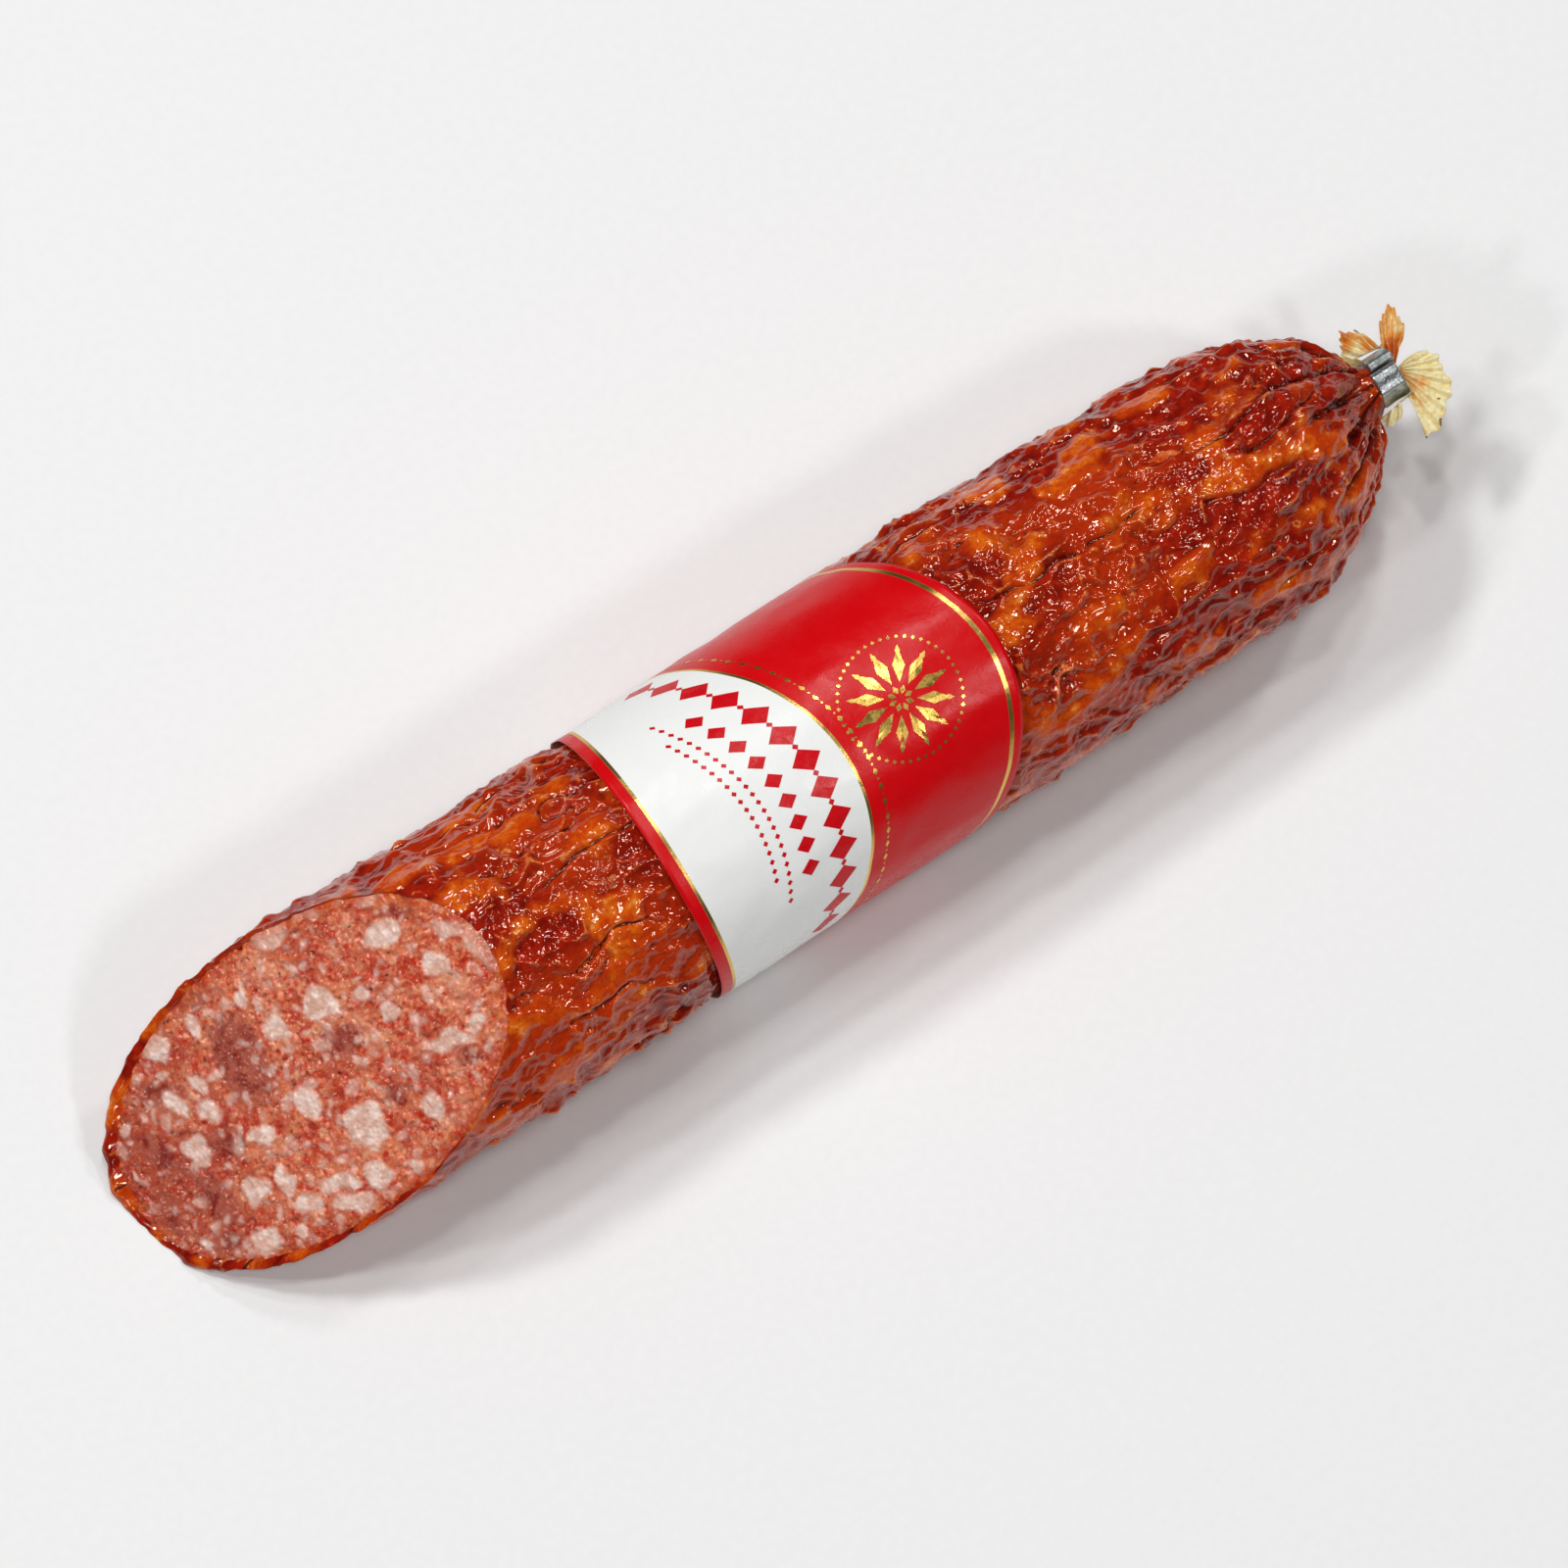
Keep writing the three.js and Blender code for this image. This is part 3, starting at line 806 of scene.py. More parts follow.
face_points = (
    face_middle
    + spot_u[..., None] * face_up
    + spot_v[..., None] * face_across
    + relief[..., None] * face_out
)
face_points[..., 2] = np.maximum(face_points[..., 2], MEAT_FLOOR)
face_cells = grid_faces(FACE_SIDE, FACE_SIDE)
cell = np.arange(FACE_SIDE * FACE_SIDE).reshape(FACE_SIDE, FACE_SIDE)
border = np.concatenate([cell[:-1, 0], cell[-1, :-1], cell[:0:-1, -1], cell[0, :0:-1]])
border_angle = disc_angle.ravel()[border]
border_skin = rim_skin.ravel()[border]
MEAT_BACK = [0.02, 0.12, 0.45, 0.8, 1.0]
back_skin = border_skin + (SKIN_END - 6 - border_skin) * np.array(MEAT_BACK)[:, None]
back_rings = skin_point(back_skin, np.broadcast_to(border_angle, back_skin.shape), HIDDEN_LIFT, floor=0.6)
back_end = back_rings[-1].mean(0)
meat_points = np.concatenate([face_points.reshape(-1, 3), back_rings.reshape(-1, 3), back_end[None]])
first_back = FACE_SIDE * FACE_SIDE
around = len(border)
next_on = np.roll(np.arange(around), -1)
rim_faces = np.stack([border, border[next_on], first_back + next_on, first_back + np.arange(around)], axis=-1)
last_back = first_back + (len(MEAT_BACK) - 1) * around
last_point = np.full(around, len(meat_points) - 1)
end_fan = np.stack([last_back + np.arange(around), last_back + next_on, last_point], axis=-1)
meat = piece_from(
    "meat",
    meat_points,
    [face_cells, rim_faces, ring_faces(len(MEAT_BACK), around, first=first_back), end_fan],
)
seen = dict(fat_dice=fat_mask, lean=lean_mask, fibres=fibres, hollows=hollow_shade, torn=torn)
seen["grain"] = medium + 0.6 * fine
seen = {name: on_face(field, spot_u, spot_v) for name, field in seen.items()}
seen["from_rim"] = from_rim
seen["towards_tip"] = -spot_u / 40
hidden = np.zeros(len(meat_points) - first_back)
paint(meat, **{name: np.append(values.ravel(), hidden) for name, values in seen.items()})


def cut_meat():
    material, tree, shader = new_material("cut_meat")
    mottling = noise_of(tree, 2.6, 4.0, 0.6)
    specks = noise_of(tree, 0.55, 2.0)
    patches = noise_of(tree, 9.0, 2.0)
    smears = noise_of(tree, 4.5, 3.0, 0.6, 1.2)
    grain_value = value_of(tree, "grain")
    darker = sum_of(tree, (value_of(tree, "towards_tip"), 1.0), (smears, 0.9))
    mince = layered(
        tree,
        mixed(tree, (196, 48, 16), (220, 118, 78), smears, 0.38, 0.62),
        ((230, 156, 116), mottling, 0.5, 0.66, 0.0, 0.75),
        ((232, 162, 124), grain_value, 0.6, 2.2, 0.0, 0.5),
        ((170, 22, 5), grain_value, -0.9, -2.4, 0.0, 0.75),
        ((176, 48, 26), patches, 0.5, 0.64, 0.0, 0.55),
        ((234, 170, 136), patches, 0.46, 0.34, 0.0, 0.35),
        ((158, 34, 16), darker, 0.7, 1.7, 0.0, 0.75),
        ((246, 212, 186), specks, 0.66, 0.72, 0.0, 0.85),
    )
    muscle = mixed(tree, (128, 26, 18), (176, 84, 66), smears, 0.34, 0.60)
    muscle = layered(tree, muscle, ((224, 160, 132), value_of(tree, "fibres"), 0.8, 1.6, 0.0, 0.85))
    pale = mixed(tree, (222, 174, 154), (246, 218, 206), mottling, 0.38, 0.62)
    smoked = mixed(tree, (180, 44, 4), (216, 104, 26), mottling, 0.4, 0.65)
    to_rim = sum_of(tree, (value_of(tree, "from_rim"), 1.0), (mottling, -3.4))
    rim_share = spread_of(tree, to_rim, -1.4, 2.6, 1.0, 0.0)
    colour = tinted(tree, mince, muscle, product_of(tree, value_of(tree, "lean"), 0.9))
    colour = tinted(tree, colour, pale, product_of(tree, value_of(tree, "fat_dice"), 0.94))
    colour = tinted(tree, colour, smoked, product_of(tree, rim_share, 0.66))
    # Painted shade in the face's hollows.
    colour = layered(tree, colour, ((120, 22, 10), value_of(tree, "hollows"), 0.06, 0.34, 0.0, 0.5))
    # Painted shade: the torn holes are darkened almost to black.
    colour = tinted(tree, colour, srgb(70, 8, 4), product_of(tree, value_of(tree, "torn"), 0.8))
    moist = sum_of(tree, (noise_of(tree, 1.6, 1.0, 0.5), 1.0), (specks, 0.15))
    inputs = {
        "Base Color": colour,
        "Roughness": spread_of(tree, specks, 0.3, 0.7, 0.06, 0.2),
        "Specular IOR Level": 0.55,
        "Specular Tint": (1.0, 0.86, 0.74, 1.0),
        "Coat Weight": 0.2,
        "Coat Roughness": 0.05,
        "Subsurface Weight": 0.08,
        "Subsurface Radius": (1.0, 0.35, 0.2),
        "Subsurface Scale": 0.8 * MM,
        "Normal": bumped(tree, moist, 0.9),
    }
    return finish_of(material, tree, shader, inputs)


meat.data.materials.append(cut_meat())
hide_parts("meat_filling")
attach(meat, "root")

# ==================================================================== the label
# One strip of thin printed plastic film, wrapped round the middle and stuck to itself in a lap
# underneath. Its near edge is straight and its far edge rises in an arch over the front.

LABEL_THICKNESS = 0.1
LAP_START = math.radians(-37.5)
LAP_TURN = math.radians(15)
LABEL_COLUMNS = 300
LABEL_ROWS = 90
label_ripples = blurred(film_height, 5)


WHITE_END = 132.65
WHITE_LEAN = 3.05
WHITE_ARCH = 16.65


def label_arch(angle):
    """Where the white field gives way to the red one."""
    return WHITE_END + WHITE_LEAN * np.sin(angle - FRONT) + WHITE_ARCH * arch(angle)


def label_lift(skin, angle):
    girth = angle * MIDDLE_RADIUS
    return 0.02 + 0.2 * on_film(label_ripples, skin, girth) + 0.05 * np.sin(0.21 * skin + 2 * angle)


label_turn = np.linspace(0, 2 * math.pi + LAP_TURN, LABEL_COLUMNS)[None, :]
label_share = np.linspace(0, 1, LABEL_ROWS)[:, None]
label_angle = np.broadcast_to(label_turn + LAP_START, (LABEL_ROWS, LABEL_COLUMNS))
label_far = label_end(label_angle)
label_skin = LABEL_FROM_TIP + (label_far - LABEL_FROM_TIP) * label_share
over_lap = 0.2 * ease(label_turn, 2 * math.pi - LAP_TURN, 2 * math.pi - 0.02)
label_height = label_lift(label_skin, label_angle) + over_lap
label_outside = skin_point(label_skin, label_angle, label_height, floor=0.06 + 0 * over_lap)
label_inside = skin_point(label_skin, label_angle, label_height - LABEL_THICKNESS)


def sheet_faces(rows, columns, first=0):
    """The closed skin of a sheet whose back side's vertices follow its front side's."""
    front = grid_faces(rows, columns, first)
    back = grid_faces(rows, columns, first + rows * columns)[:, [0, 3, 2, 1]]
    grid = first + np.arange(rows * columns).reshape(rows, columns)
    loop = np.concatenate([grid[0, :-1], grid[:-1, -1], grid[-1, :0:-1], grid[:0:-1, 0]])
    ahead = np.roll(loop, -1)
    edges = np.stack([loop, loop + rows * columns, ahead + rows * columns, ahead], -1)
    return [front, back, edges]


label = piece_from(
    "label",
    np.concatenate([label_outside.reshape(-1, 3), label_inside.reshape(-1, 3)]),
    sheet_faces(LABEL_ROWS, LABEL_COLUMNS),
)
outer = np.concatenate([np.ones(label_skin.size), np.zeros(label_skin.size)])
paint(
    label,
    printed=outer,
    from_near_edge=np.tile((label_skin - LABEL_FROM_TIP).ravel(), 2),
    from_far_edge=np.tile((label_far - label_skin).ravel(), 2),
    past_arch=np.tile((label_skin - label_arch(label_angle)).ravel(), 2),
)


def step_of(tree, value, threshold, softness=0.04):
    return spread_of(tree, value, threshold - softness, threshold + softness)


def line_of(tree, value, low, high):
    """1 where the value is between low and high, 0 elsewhere."""
    return product_of(tree, step_of(tree, value, low), spread_of(tree, value, high, high + 0.08, 1.0, 0.0))


def printed_film():
    material, tree, shader = new_material("printed_film")
    near = value_of(tree, "from_near_edge")
    far = value_of(tree, "from_far_edge")
    past_arch = value_of(tree, "past_arch")
    printed = value_of(tree, "printed")
    scuffs = noise_of(tree, 6.0, 5.0, 0.7)
    white, red, gold = srgb(240, 241, 238), srgb(208, 1, 10), srgb(214, 178, 96)
    lines = ((past_arch, -0.3, 0.27), (near, 2.4, 2.97), (far, 2.0, 2.86))
    foil = product_of(tree, sum_of(tree, *((line_of(tree, *line), 1.0) for line in lines)), printed)
    colour = tinted(tree, white, red, step_of(tree, past_arch, 0.0))
    colour = tinted(tree, red, colour, step_of(tree, near, 2.4))
    colour = tinted(tree, colour, gold, foil)
    inputs = {
        "Base Color": tinted(tree, srgb(222, 220, 214), colour, printed),
        "Metallic": foil,
        "Roughness": spread_of(tree, scuffs, 0.3, 0.75, 0.24, 0.36),
        "Specular IOR Level": 0.25,
        "Normal": bumped(tree, scuffs, 0.12),
    }
    return finish_of(material, tree, shader, inputs)


label.data.materials.append(printed_film())
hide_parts("label_sleeve")
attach(label, "root")

# ==================================================================== the label's ornament
# Hot-stamped foil on the label: plain lozenges in rows, and a rosette, where a maker would put
# their own words. Each is laid out flat by nodes, then wrapped onto the label.

FOIL_THICKNESS = 0.03
ROSETTE_PLACE = 53.5


def node_tree_with(name, **sockets):
    """A geometry node tree with these named inputs: the tree and the inputs' outlets."""
    tree = bpy.data.node_groups.new(name, "GeometryNodeTree")
    for socket_name, value in sockets.items():
        kind = "NodeSocketInt" if isinstance(value, int) else "NodeSocketFloat"
        tree.interface.new_socket(socket_name, in_out="INPUT", socket_type=kind).default_value = value
    tree.interface.new_socket("Material", in_out="INPUT", socket_type="NodeSocketMaterial")
    tree.interface.new_socket("Geometry", in_out="OUTPUT", socket_type="NodeSocketGeometry")
    return tree, node_in(tree, "NodeGroupInput").outputs


def finished_tree(tree, given, geometry):
    """The tree, once it ends in this geometry, realised and with its material on."""
    realised = node_in(tree, "GeometryNodeRealizeInstances", {"Geometry": geometry}).outputs[0]
    inputs = {"Geometry": realised, "Material": given["Material"]}
    finish = node_in(tree, "GeometryNodeSetMaterial", inputs).outputs[0]
    node_in(tree, "NodeGroupOutput", {"Geometry": finish})
    return tree


def lozenge_nodes(tree, given):
    """A thin closed lozenge plate, Length by Width."""
    disc = node_in(tree, "GeometryNodeMeshCircle", {"Vertices": 8, "Radius": 1.0}, fill_type="TRIANGLE_FAN")
    place = node_in(tree, "GeometryNodeInputPosition").outputs["Position"]
    parts = node_in(tree, "ShaderNodeSeparateXYZ", {"Vector": place}).outputs
    reach = math_node(
        tree,
        "ADD",
        math_node(tree, "ABSOLUTE", parts["X"]),
        math_node(tree, "ABSOLUTE", parts["Y"]),
    )
    reach = math_node(tree, "MAXIMUM", reach, 0.001)
    shaped = node_in(tree, "ShaderNodeCombineXYZ")
    for axis, size in (("X", given["Length"]), ("Y", given["Width"])):
        half = math_node(tree, "MULTIPLY", size, 0.5)
        share = math_node(tree, "DIVIDE", parts[axis], reach)
        feed(tree, shaped.inputs[axis], math_node(tree, "MULTIPLY", share, half))
    inputs = {"Geometry": disc.outputs["Mesh"], "Position": shaped.outputs["Vector"]}
    shape = node_in(tree, "GeometryNodeSetPosition", inputs).outputs["Geometry"]
    inputs = {"Mesh": shape, "Offset Scale": given["Thickness"], "Individual": False}
    raised = node_in(tree, "GeometryNodeExtrudeMesh", inputs, mode="FACES").outputs["Mesh"]
    under = node_in(tree, "GeometryNodeFlipFaces", {"Mesh": shape}).outputs["Mesh"]
    both = node_in(tree, "GeometryNodeJoinGeometry")
    feed(tree, both.inputs["Geometry"], raised)
    feed(tree, both.inputs["Geometry"], under)
    inputs = {"Geometry": both.outputs["Geometry"], "Distance": 0.0001}
    return node_in(tree, "GeometryNodeMergeByDistance", inputs).outputs["Geometry"]


LOZENGE_SOCKETS = dict(Count=12, Length=2.0, Width=1.2, Thickness=FOIL_THICKNESS)


def foil_row_tree():
    tree, given = node_tree_with("foil_row", **LOZENGE_SOCKETS, Pitch=3.0)
    half = math_node(tree, "MULTIPLY", math_node(tree, "SUBTRACT", given["Count"], 1.0), -0.5)
    start = node_in(tree, "ShaderNodeCombineXYZ", {"X": math_node(tree, "MULTIPLY", half, given["Pitch"])})
    offset = node_in(tree, "ShaderNodeCombineXYZ", {"X": given["Pitch"]})
    inputs = {"Count": given["Count"], "Offset": offset.outputs[0], "Start Location": start.outputs[0]}
    line = node_in(tree, "GeometryNodeMeshLine", inputs, mode="OFFSET").outputs["Mesh"]
    inputs = {"Points": line, "Instance": lozenge_nodes(tree, given)}
    return finished_tree(tree, given, node_in(tree, "GeometryNodeInstanceOnPoints", inputs).outputs[0])


def foil_rosette_tree():
    tree, given = node_tree_with("foil_rosette", **LOZENGE_SOCKETS, Ring=5.0)
    ring = node_in(tree, "GeometryNodeMeshCircle", {"Vertices": given["Count"], "Radius": given["Ring"]})
    index = node_in(tree, "GeometryNodeInputIndex").outputs["Index"]
    turn = math_node(tree, "MULTIPLY", math_node(tree, "DIVIDE", index, given["Count"]), 2 * math.pi)
    spin = node_in(tree, "ShaderNodeCombineXYZ", {"Z": turn}).outputs["Vector"]
    rotation = node_in(tree, "FunctionNodeEulerToRotation", {"Euler": spin}).outputs["Rotation"]
    inputs = {"Points": ring.outputs["Mesh"], "Instance": lozenge_nodes(tree, given), "Rotation": rotation}
    return finished_tree(tree, given, node_in(tree, "GeometryNodeInstanceOnPoints", inputs).outputs[0])


def made_by_nodes(name, tree, material, **inputs):
    """The finished mesh of this node tree with these inputs, as plain vertices and faces."""
    host = bpy.data.objects.new(name + "_host", bpy.data.meshes.new(name + "_host"))
    bpy.context.scene.collection.objects.link(host)
    modifier = host.modifiers.new("nodes", "NODES")
    modifier.node_group = tree
    for item in tree.interface.items_tree:
        if item.item_type == "SOCKET" and item.in_out == "INPUT" and item.socket_type != "NodeSocketGeometry":
            key = item.name.replace(" ", "_").lower()
            modifier[item.identifier] = material if key == "material" else inputs[key]
    graph = bpy.context.evaluated_depsgraph_get()
    mesh = bpy.data.meshes.new_from_object(host.evaluated_get(graph))
    points = np.empty(len(mesh.vertices) * 3, np.float32)
    mesh.vertices.foreach_get("co", points)
    corners = np.empty(len(mesh.loops), np.int32)
    mesh.loops.foreach_get("vertex_index", corners)
    starts = np.empty(len(mesh.polygons), np.int32)
    mesh.polygons.foreach_get("loop_start", starts)
    faces = np.split(corners, starts[1:])
    bpy.data.objects.remove(host)
    bpy.data.meshes.remove(mesh)
    return points.reshape(-1, 3).astype(float), faces


def foil_finish(name, colour, metallic):
    material, tree, shader = new_material(name)
    wear = noise_of(tree, 1.4, 4.0, 0.7)
    inputs = {
        "Base Color": mixed(tree, colour, [v * 0.8 for v in colour], wear, 0.5, 0.8),
        "Metallic": metallic,
        "Specular IOR Level": 0.25,
        "Roughness": spread_of(tree, wear, 0.3, 0.8, 0.2, 0.42),
        "Normal": bumped(tree, wear, 0.03),
    }
    return finish_of(material, tree, shader, inputs)


gold_foil = foil_finish("gold_foil", (206, 168, 84), 1.0)
red_ink = foil_finish("red_ink", (206, 6, 20), 0.0)
row_tree, rosette_tree = foil_row_tree(), foil_rosette_tree()
FRONT_GIRTH = FRONT * MIDDLE_RADIUS


def wrapped(points, beyond, follows_arch):
    """Flat ornament laid on the label, `beyond` the arch or, if it stands alone, the near edge."""
    girth = FRONT_GIRTH + points[:, 0]
    angle = girth / MIDDLE_RADIUS
    line = label_arch(angle) if follows_arch else LABEL_FROM_TIP
    skin = line + beyond + points[:, 1]
    return skin_point(skin, angle, label_lift(skin, angle) + 0.02 + points[:, 2])


def ornament(name, patterns, material):
    """One piece made of several wrapped patterns."""
    all_points, triangles, quads, count = [], [], [], 0
    for tree, beyond, follows_arch, inputs in patterns:
        points, faces = made_by_nodes(name, tree, material, thickness=FOIL_THICKNESS, **inputs)
        all_points.append(wrapped(points, beyond, follows_arch))
        triangles += [f + count for f in faces if len(f) == 3]
        quads += [f + count for f in faces if len(f) == 4]
        count += len(points)
    piece = piece_from(name, np.concatenate(all_points), [np.array(triangles), np.array(quads)], smooth=False)
    piece.data.materials.append(material)
    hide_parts("label_sleeve")
    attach(piece, "root")
    return piece


ornament(
    "label_gold_ornament",
    [
        (row_tree, 3.4, True, dict(count=29, length=1.5, width=0.9, pitch=2.9)),
        (row_tree, 3.4, True, dict(count=28, length=0.5, width=0.5, pitch=2.9)),
        (rosette_tree, ROSETTE_PLACE, False, dict(count=12, length=6.4, width=2.3, ring=6.2)),
        (rosette_tree, ROSETTE_PLACE, False, dict(count=12, length=2.2, width=1.0, ring=8.9)),
        (rosette_tree, ROSETTE_PLACE, False, dict(count=48, length=0.8, width=0.8, ring=11.6)),
        (rosette_tree, ROSETTE_PLACE, False, dict(count=8, length=1.7, width=1.1, ring=1.7)),
    ],
    gold_foil,
)
ornament(
    "label_red_ornament",
    [
        (row_tree, -6.4, True, dict(count=13, length=4.8, width=6.2, pitch=6.0)),
        (row_tree, -6.4, True, dict(count=12, length=1.3, width=1.3, pitch=6.0)),
        (row_tree, -13.6, True, dict(count=9, length=3.2, width=4.0, pitch=4.4)),
        (row_tree, -18.2, True, dict(count=25, length=1.1, width=1.1, pitch=1.8)),
        (row_tree, -20.8, True, dict(count=19, length=1.1, width=1.1, pitch=1.8)),
    ],
    red_ink,
)

# ==================================================================== the clip
# A short length of flat aluminium bar, crimped round the gathered neck by a machine until its
# two ends meet. The crimping die leaves it dull, with flats and small dents.

CLIP_BAR = 2.0
CLIP_BORE = 2.9
CLIP_SEAM = math.radians(78)
CLIP_GAP = 0.16
CLIP_ROUNDING = 0.42
clip_low, clip_high = (np.array(v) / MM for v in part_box("end_clip"))
CLIP_WIDTH = float(clip_high[0] - clip_low[0])
clip_middle = np.array([(clip_low[0] + clip_high[0]) / 2, NECK_SIDEWAYS, (clip_low[2] + clip_high[2]) / 2])


def bent_bar_tree():
    tree, given = node_tree_with("bent_bar", Radius=4.0, Sweep=6.0, Width=5.0, Bar=2.0, Rounding=0.4)
    sweep = given["Sweep"]
    start = math_node(tree, "MULTIPLY", sweep, -0.5)
    inputs = {"Radius": given["Radius"], "Sweep Angle": sweep, "Start Angle": start, "Resolution": 120}
    arc = node_in(tree, "GeometryNodeCurveArc", inputs).outputs["Curve"]
    inputs = {"Width": given["Bar"], "Height": given["Width"]}
    profile = node_in(tree, "GeometryNodeCurvePrimitiveQuadrilateral", inputs).outputs["Curve"]
    inputs = {"Curve": profile, "Radius": given["Rounding"], "Count": 4}
    rounded = node_in(tree, "GeometryNodeFilletCurve", inputs, mode="POLY").outputs["Curve"]
    even = node_in(tree, "GeometryNodeResampleCurve", {"Curve": rounded, "Count": 72}).outputs["Curve"]
    inputs = {"Curve": arc, "Profile Curve": even, "Fill Caps": True}
    return finished_tree(tree, given, node_in(tree, "GeometryNodeCurveToMesh", inputs).outputs["Mesh"])


def crimped_aluminium():
    material, tree, shader = new_material("crimped_aluminium")
    smears = noise_of(tree, 2.4, 4.0, 0.6)
    scratches = noise_of(tree, 0.35, 3.0, 0.7)
    colour = mixed(tree, (176, 180, 180), (120, 126, 124), smears, 0.42, 0.68)
    inputs = {
        "Base Color": layered(tree, colour, ((220, 222, 222), scratches, 0.6, 0.75, 0.0, 0.5)),
        "Metallic": 0.95,
        "Roughness": spread_of(tree, smears, 0.3, 0.7, 0.22, 0.42),
        "Normal": bumped(tree, sum_of(tree, (smears, 1.0), (scratches, 0.25)), 0.25),
    }
    return finish_of(material, tree, shader, inputs)


aluminium = crimped_aluminium()
bar_points, bar_faces = made_by_nodes(
    "clip",
    bent_bar_tree(),
    aluminium,
    radius=CLIP_BORE + CLIP_BAR / 2,
    sweep=2 * math.pi - CLIP_GAP,
    width=CLIP_WIDTH,
    bar=CLIP_BAR,
    rounding=CLIP_ROUNDING,
)
bar_radius = np.hypot(bar_points[:, 0], bar_points[:, 1])
bar_turn = np.arctan2(bar_points[:, 1], bar_points[:, 0])
bar_share = ease(bar_radius, CLIP_BORE, CLIP_BORE + CLIP_BAR)
flat_at = np.mod(bar_turn + 0.35, math.pi / 3.5) - math.pi / 7
flats = (0.94 / np.cos(flat_at) - 1) * 0.75 + 0.012
to_seam = math.pi - np.abs(bar_turn)
end_bulge = 0.5 * np.exp(-(((to_seam - 0.36) / 0.26) ** 2)) - 0.75 * np.exp(-((to_seam / 0.17) ** 2))
waist = -0.16 * np.exp(-((bar_points[:, 2] / (0.24 * CLIP_WIDTH)) ** 2))
waist = waist * np.exp(-(((to_seam - 1.7) / 0.7) ** 2))
bar_radius = bar_radius * (1 + bar_share * flats) + bar_share * (end_bulge + waist)
skewed = 0.10 * np.sin(bar_turn / 2) * (0.5 + 0.5 * bar_share)
bar_turn = bar_turn + math.pi + CLIP_SEAM
clip = piece_from(
    "clip",
    clip_middle
    + np.stack(
        [
            bar_points[:, 2] * (1 - 0.05 * np.cos(bar_turn)) + skewed * 4,
            bar_radius * np.cos(bar_turn),
            bar_radius * np.sin(bar_turn),
        ],
        axis=-1,
    ),
    [np.array([f for f in bar_faces if len(f) == 4])]
    + [np.array([f]) for f in bar_faces if len(f) != 4],
)
clip.data.materials.append(aluminium)
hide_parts("end_clip")
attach(clip, "root")

# ==================================================================== the tail frill
# Beyond the clip the film was cut off and springs open into a frill of stiff, dry, pleated
# lobes. With no meat behind it the film is cream-coloured and lets light in, with smoke stains.

FRILL_ACROSS = 80
FRILL_OUT = 44
FRILL_THICKNESS = 0.13
LOBE_ROOT = 1.2
CLIP_RIM_RADIUS = 5.3
frill_root = np.array([float(clip_high[0]) - 0.4, NECK_SIDEWAYS, clip_middle[2]])
frill_dice = np.random.default_rng(8)
# Each lobe: where its end lies from the root, which way it faces, half its spread in degrees,
# how much longer one side is, how pointed it is, its pleats, and how stained it is.
FRILL_LOBES = [
    ((7.6, -7.4, 1.2), (-0.2, -0.2, 1.0), 52, -0.34, 0.05, 8, 0.15),
    ((5.6, 10.2, 2.6), (-0.5, -0.1, 1.0), 21, -0.12, 0.55, 3, 1.0),
    ((-3.0, 11.4, 1.2), (0.1, -0.3, 1.0), 21, 0.05, 0.35, 4, 0.8),
    ((-8.6, 12.6, -6.6), (0.3, 0.2, 1.0), 13, 0.0, 0.4, 3, 0.2),
    ((-6.0, -8.0, -1.6), (-0.3, 0.3, 1.0), 21, 0.1, 0.3, 3, 0.1),
    ((4.0, -5.5, -9.0), (1.0, 0.4, 0.2), 26, 0.1, 0.3, 5, 0.3),
    ((3.4, 5.5, -9.5), (1.0, -0.3, 0.2), 24, -0.1, 0.3, 5, 0.4),
]


def unit(vector):
    vector = np.array(vector, float)
    return vector / np.linalg.norm(vector)


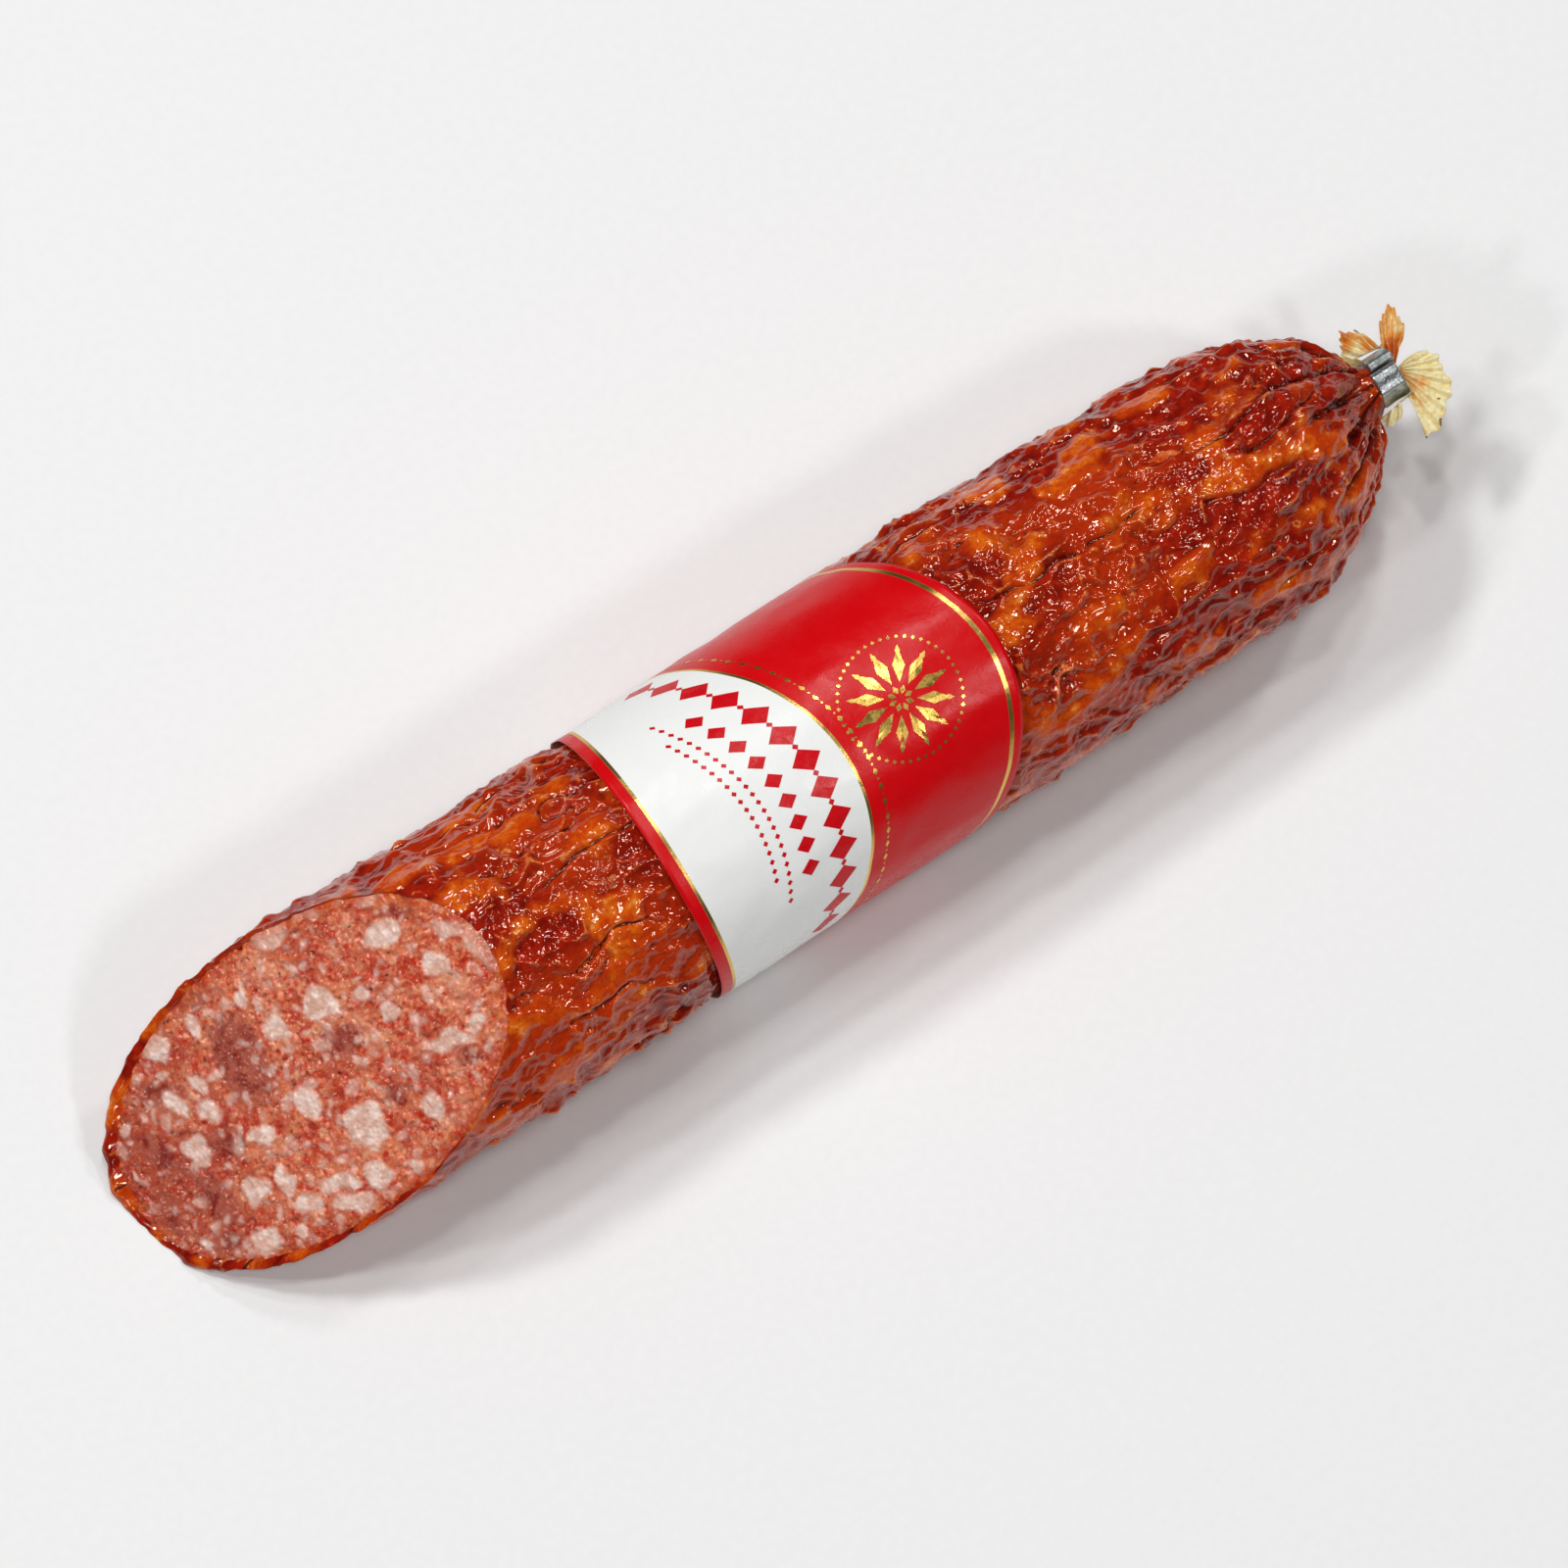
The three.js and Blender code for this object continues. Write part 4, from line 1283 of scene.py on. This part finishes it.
def frill_lobe(end, facing, spread, skew, point, pleat_count, stain):
    across = np.linspace(-1, 1, FRILL_ACROSS)[None, :]
    out = np.linspace(0, 1, FRILL_OUT)[:, None]
    phases = frill_dice.uniform(0, 2 * math.pi, 6)
    forward = unit(end)
    sideways = unit(np.cross(facing, forward))
    upward = np.cross(forward, sideways)
    ragged_edge = 0.04 * np.sin(9 * across + phases[0]) + 0.03 * np.sin(23 * across + phases[1])
    length = np.linalg.norm(end) * (1 + skew * across - point * np.abs(across) ** 1.8 + ragged_edge * out)
    reach = LOBE_ROOT + (length - LOBE_ROOT) * out
    turn = math.radians(spread) * across + 0.08 * np.sin(2.4 * out + phases[2]) * out
    fold = np.arcsin(0.95 * np.sin(math.pi * pleat_count * (across + 0.05 * np.sin(5 * out + phases[3]))))
    depth = 0.12 + 0.46 * np.sin(math.pi * np.minimum(out, 0.8) / 1.6)
    crumple = 0.16 * np.sin(15 * out + 6 * across + phases[4]) * np.sin(10 * across + phases[5])
    curl = 0.9 * np.sin(2.6 * out + phases[0]) * out * np.abs(across)
    height = depth * fold * 0.62 + crumple * out + curl
    sheet_points = (
        frill_root
        + (reach * np.cos(turn))[..., None] * forward
        + (reach * np.sin(turn))[..., None] * sideways
        + height[..., None] * upward
    )
    # A lobe that leans back first clears the clip's rim.
    from_axis = np.hypot(sheet_points[..., 1] - frill_root[1], sheet_points[..., 2] - frill_root[2])
    cleared = clip_high[0] + 0.12 - 9.0 * np.maximum(from_axis - CLIP_RIM_RADIUS, 0)
    pushed_out = np.maximum(sheet_points[..., 0], cleared)
    sheet_points[..., 0] = np.where(out > 0.1, pushed_out, sheet_points[..., 0])
    normal = np.cross(np.gradient(sheet_points, axis=1), np.gradient(sheet_points, axis=0))
    normal = normal / np.maximum(np.linalg.norm(normal, axis=-1, keepdims=True), 1e-6)
    half = normal * FRILL_THICKNESS / 2
    values = dict(
        out=np.broadcast_to(out, reach.shape),
        stained=np.full(reach.shape, stain),
        crease=np.broadcast_to(np.abs(fold) / (math.pi / 2), reach.shape),
    )
    return sheet_points + half, sheet_points - half, values


frill_points, frill_faces, frill_values, frill_count = [], [], {}, 0
for lobe in FRILL_LOBES:
    front_side, back_side, values = frill_lobe(*lobe)
    frill_points += [front_side.reshape(-1, 3), back_side.reshape(-1, 3)]
    frill_faces += sheet_faces(FRILL_OUT, FRILL_ACROSS, first=frill_count)
    frill_count += 2 * FRILL_OUT * FRILL_ACROSS
    for name, numbers in values.items():
        frill_values.setdefault(name, []).extend([numbers.ravel(), numbers.ravel()])
tail_frill = piece_from("tail_frill", np.concatenate(frill_points), frill_faces)
paint(tail_frill, **{name: np.concatenate(numbers) for name, numbers in frill_values.items()})


def dry_film():
    material, tree, shader = new_material("dry_film")
    cloud = noise_of(tree, 5.0, 3.0, 0.6)
    spots = noise_of(tree, 2.2, 1.0)
    fine_cloud = noise_of(tree, 0.9, 3.0)
    near_clip = spread_of(tree, value_of(tree, "out"), 0.15, 0.8, 1.0, 0.0)
    soaked = sum_of(tree, (cloud, 1.0), (value_of(tree, "stained"), 0.44), (near_clip, 0.26))
    colour = layered(
        tree,
        mixed(tree, (240, 226, 178), (226, 196, 128), fine_cloud, 0.4, 0.7),
        ((216, 126, 24), soaked, 0.72, 0.92, 0.0, 0.9),
        ((184, 70, 8), soaked, 0.92, 1.08, 0.0, 0.9),
        ((96, 26, 8), spots, 0.70, 0.74, 0.0, 0.9),
    )
    creases = sum_of(tree, (crinkle_of(tree, 1.3), 1.0), (crinkle_of(tree, 0.5), 0.4))
    inputs = {
        "Base Color": colour,
        "Roughness": spread_of(tree, fine_cloud, 0.3, 0.7, 0.22, 0.4),
        "Subsurface Weight": 0.35,
        "Subsurface Radius": (1.0, 0.8, 0.4),
        "Subsurface Scale": 1.0 * MM,
        "Normal": bumped(tree, creases, 0.3),
    }
    return finish_of(material, tree, shader, inputs)


tail_frill.data.materials.append(dry_film())
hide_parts("casing")
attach(tail_frill, "root")

# ==================================================================== floor, light and camera
# A pale matt sweep in a light studio, with one broad light behind the stick, seven small bright
# ones round it for the glints on the film, and a long lens looking steeply down.

FLOOR_REACH = 6.0
floor_mesh = bpy.data.meshes.new("floor")
floor_corners = [(x * FLOOR_REACH, y * FLOOR_REACH, 0) for x, y in ((-1, -1), (1, -1), (1, 1), (-1, 1))]
floor_mesh.from_pydata(floor_corners, [], [(0, 1, 2, 3)])
floor = bpy.data.objects.new("floor", floor_mesh)
bpy.context.scene.collection.objects.link(floor)


def matt_sweep():
    material, tree, shader = new_material("matt_sweep")
    tooth = noise_of(tree, 2.0, 3.0)
    inputs = {
        "Base Color": mixed(tree, (240, 240, 240), (238, 238, 238), tooth, 0.3, 0.7),
        "Roughness": 0.95,
        "Specular IOR Level": 0.1,
    }
    return finish_of(material, tree, shader, inputs)


floor_mesh.materials.append(matt_sweep())

world = bpy.data.worlds.new("studio")
world.use_nodes = True
world.node_tree.nodes["Background"].inputs["Color"].default_value = (1.0, 1.0, 1.0, 1.0)
world.node_tree.nodes["Background"].inputs["Strength"].default_value = 0.08
bpy.context.scene.world = world
bpy.context.scene.view_settings.view_transform = "Standard"


LIGHTS_AIM = (0, 0, 0.03)


def area_light(name, place, size, power):
    light = bpy.data.lights.new(name, "AREA")
    light.shape = "RECTANGLE"
    light.size, light.size_y = size
    light.energy = power
    lamp = bpy.data.objects.new(name, light)
    lamp.location = place
    dx, dy, dz = (b - a for a, b in zip(place, LIGHTS_AIM))
    lamp.rotation_euler = (math.atan2(math.hypot(dx, dy), -dz), 0.0, math.atan2(-dx, dy))
    bpy.context.scene.collection.objects.link(lamp)


area_light("broad_light", (-0.35, 0.8, 1.5), (0.26, 0.20), 8.6)
area_light("front_light", (0.5, -0.9, 1.3), (0.16, 0.16), 3.8)
area_light("cut_end_light", (-1.1, -0.25, 1.1), (0.14, 0.14), 3.2)
area_light("clip_end_light", (1.0, 0.2, 1.2), (0.14, 0.14), 3.3)
area_light("top_light", (0.1, 0.15, 1.9), (0.15, 0.15), 4.1)
area_light("near_top_light", (-0.25, -0.45, 1.75), (0.13, 0.13), 2.8)
area_light("far_top_light", (0.45, 0.55, 1.65), (0.13, 0.13), 3.0)
area_light("side_light", (-0.75, 0.45, 1.3), (0.13, 0.13), 2.8)

camera_data = bpy.data.cameras.new("camera")
camera_data.lens = 320
camera_data.sensor_width = 36
camera = bpy.data.objects.new("camera", camera_data)
CAMERA_DISTANCE = 2.556
CAMERA_AZIMUTH, CAMERA_ELEVATION = math.radians(-34.2), math.radians(72)
camera_aim = (-0.0028, -0.0019, 0.028)
camera.location = (
    camera_aim[0] + CAMERA_DISTANCE * math.cos(CAMERA_ELEVATION) * math.sin(CAMERA_AZIMUTH),
    camera_aim[1] - CAMERA_DISTANCE * math.cos(CAMERA_ELEVATION) * math.cos(CAMERA_AZIMUTH),
    camera_aim[2] + CAMERA_DISTANCE * math.sin(CAMERA_ELEVATION),
)
camera.rotation_euler = (math.pi / 2 - CAMERA_ELEVATION, 0.0, CAMERA_AZIMUTH)
bpy.context.scene.collection.objects.link(camera)
bpy.context.scene.camera = camera
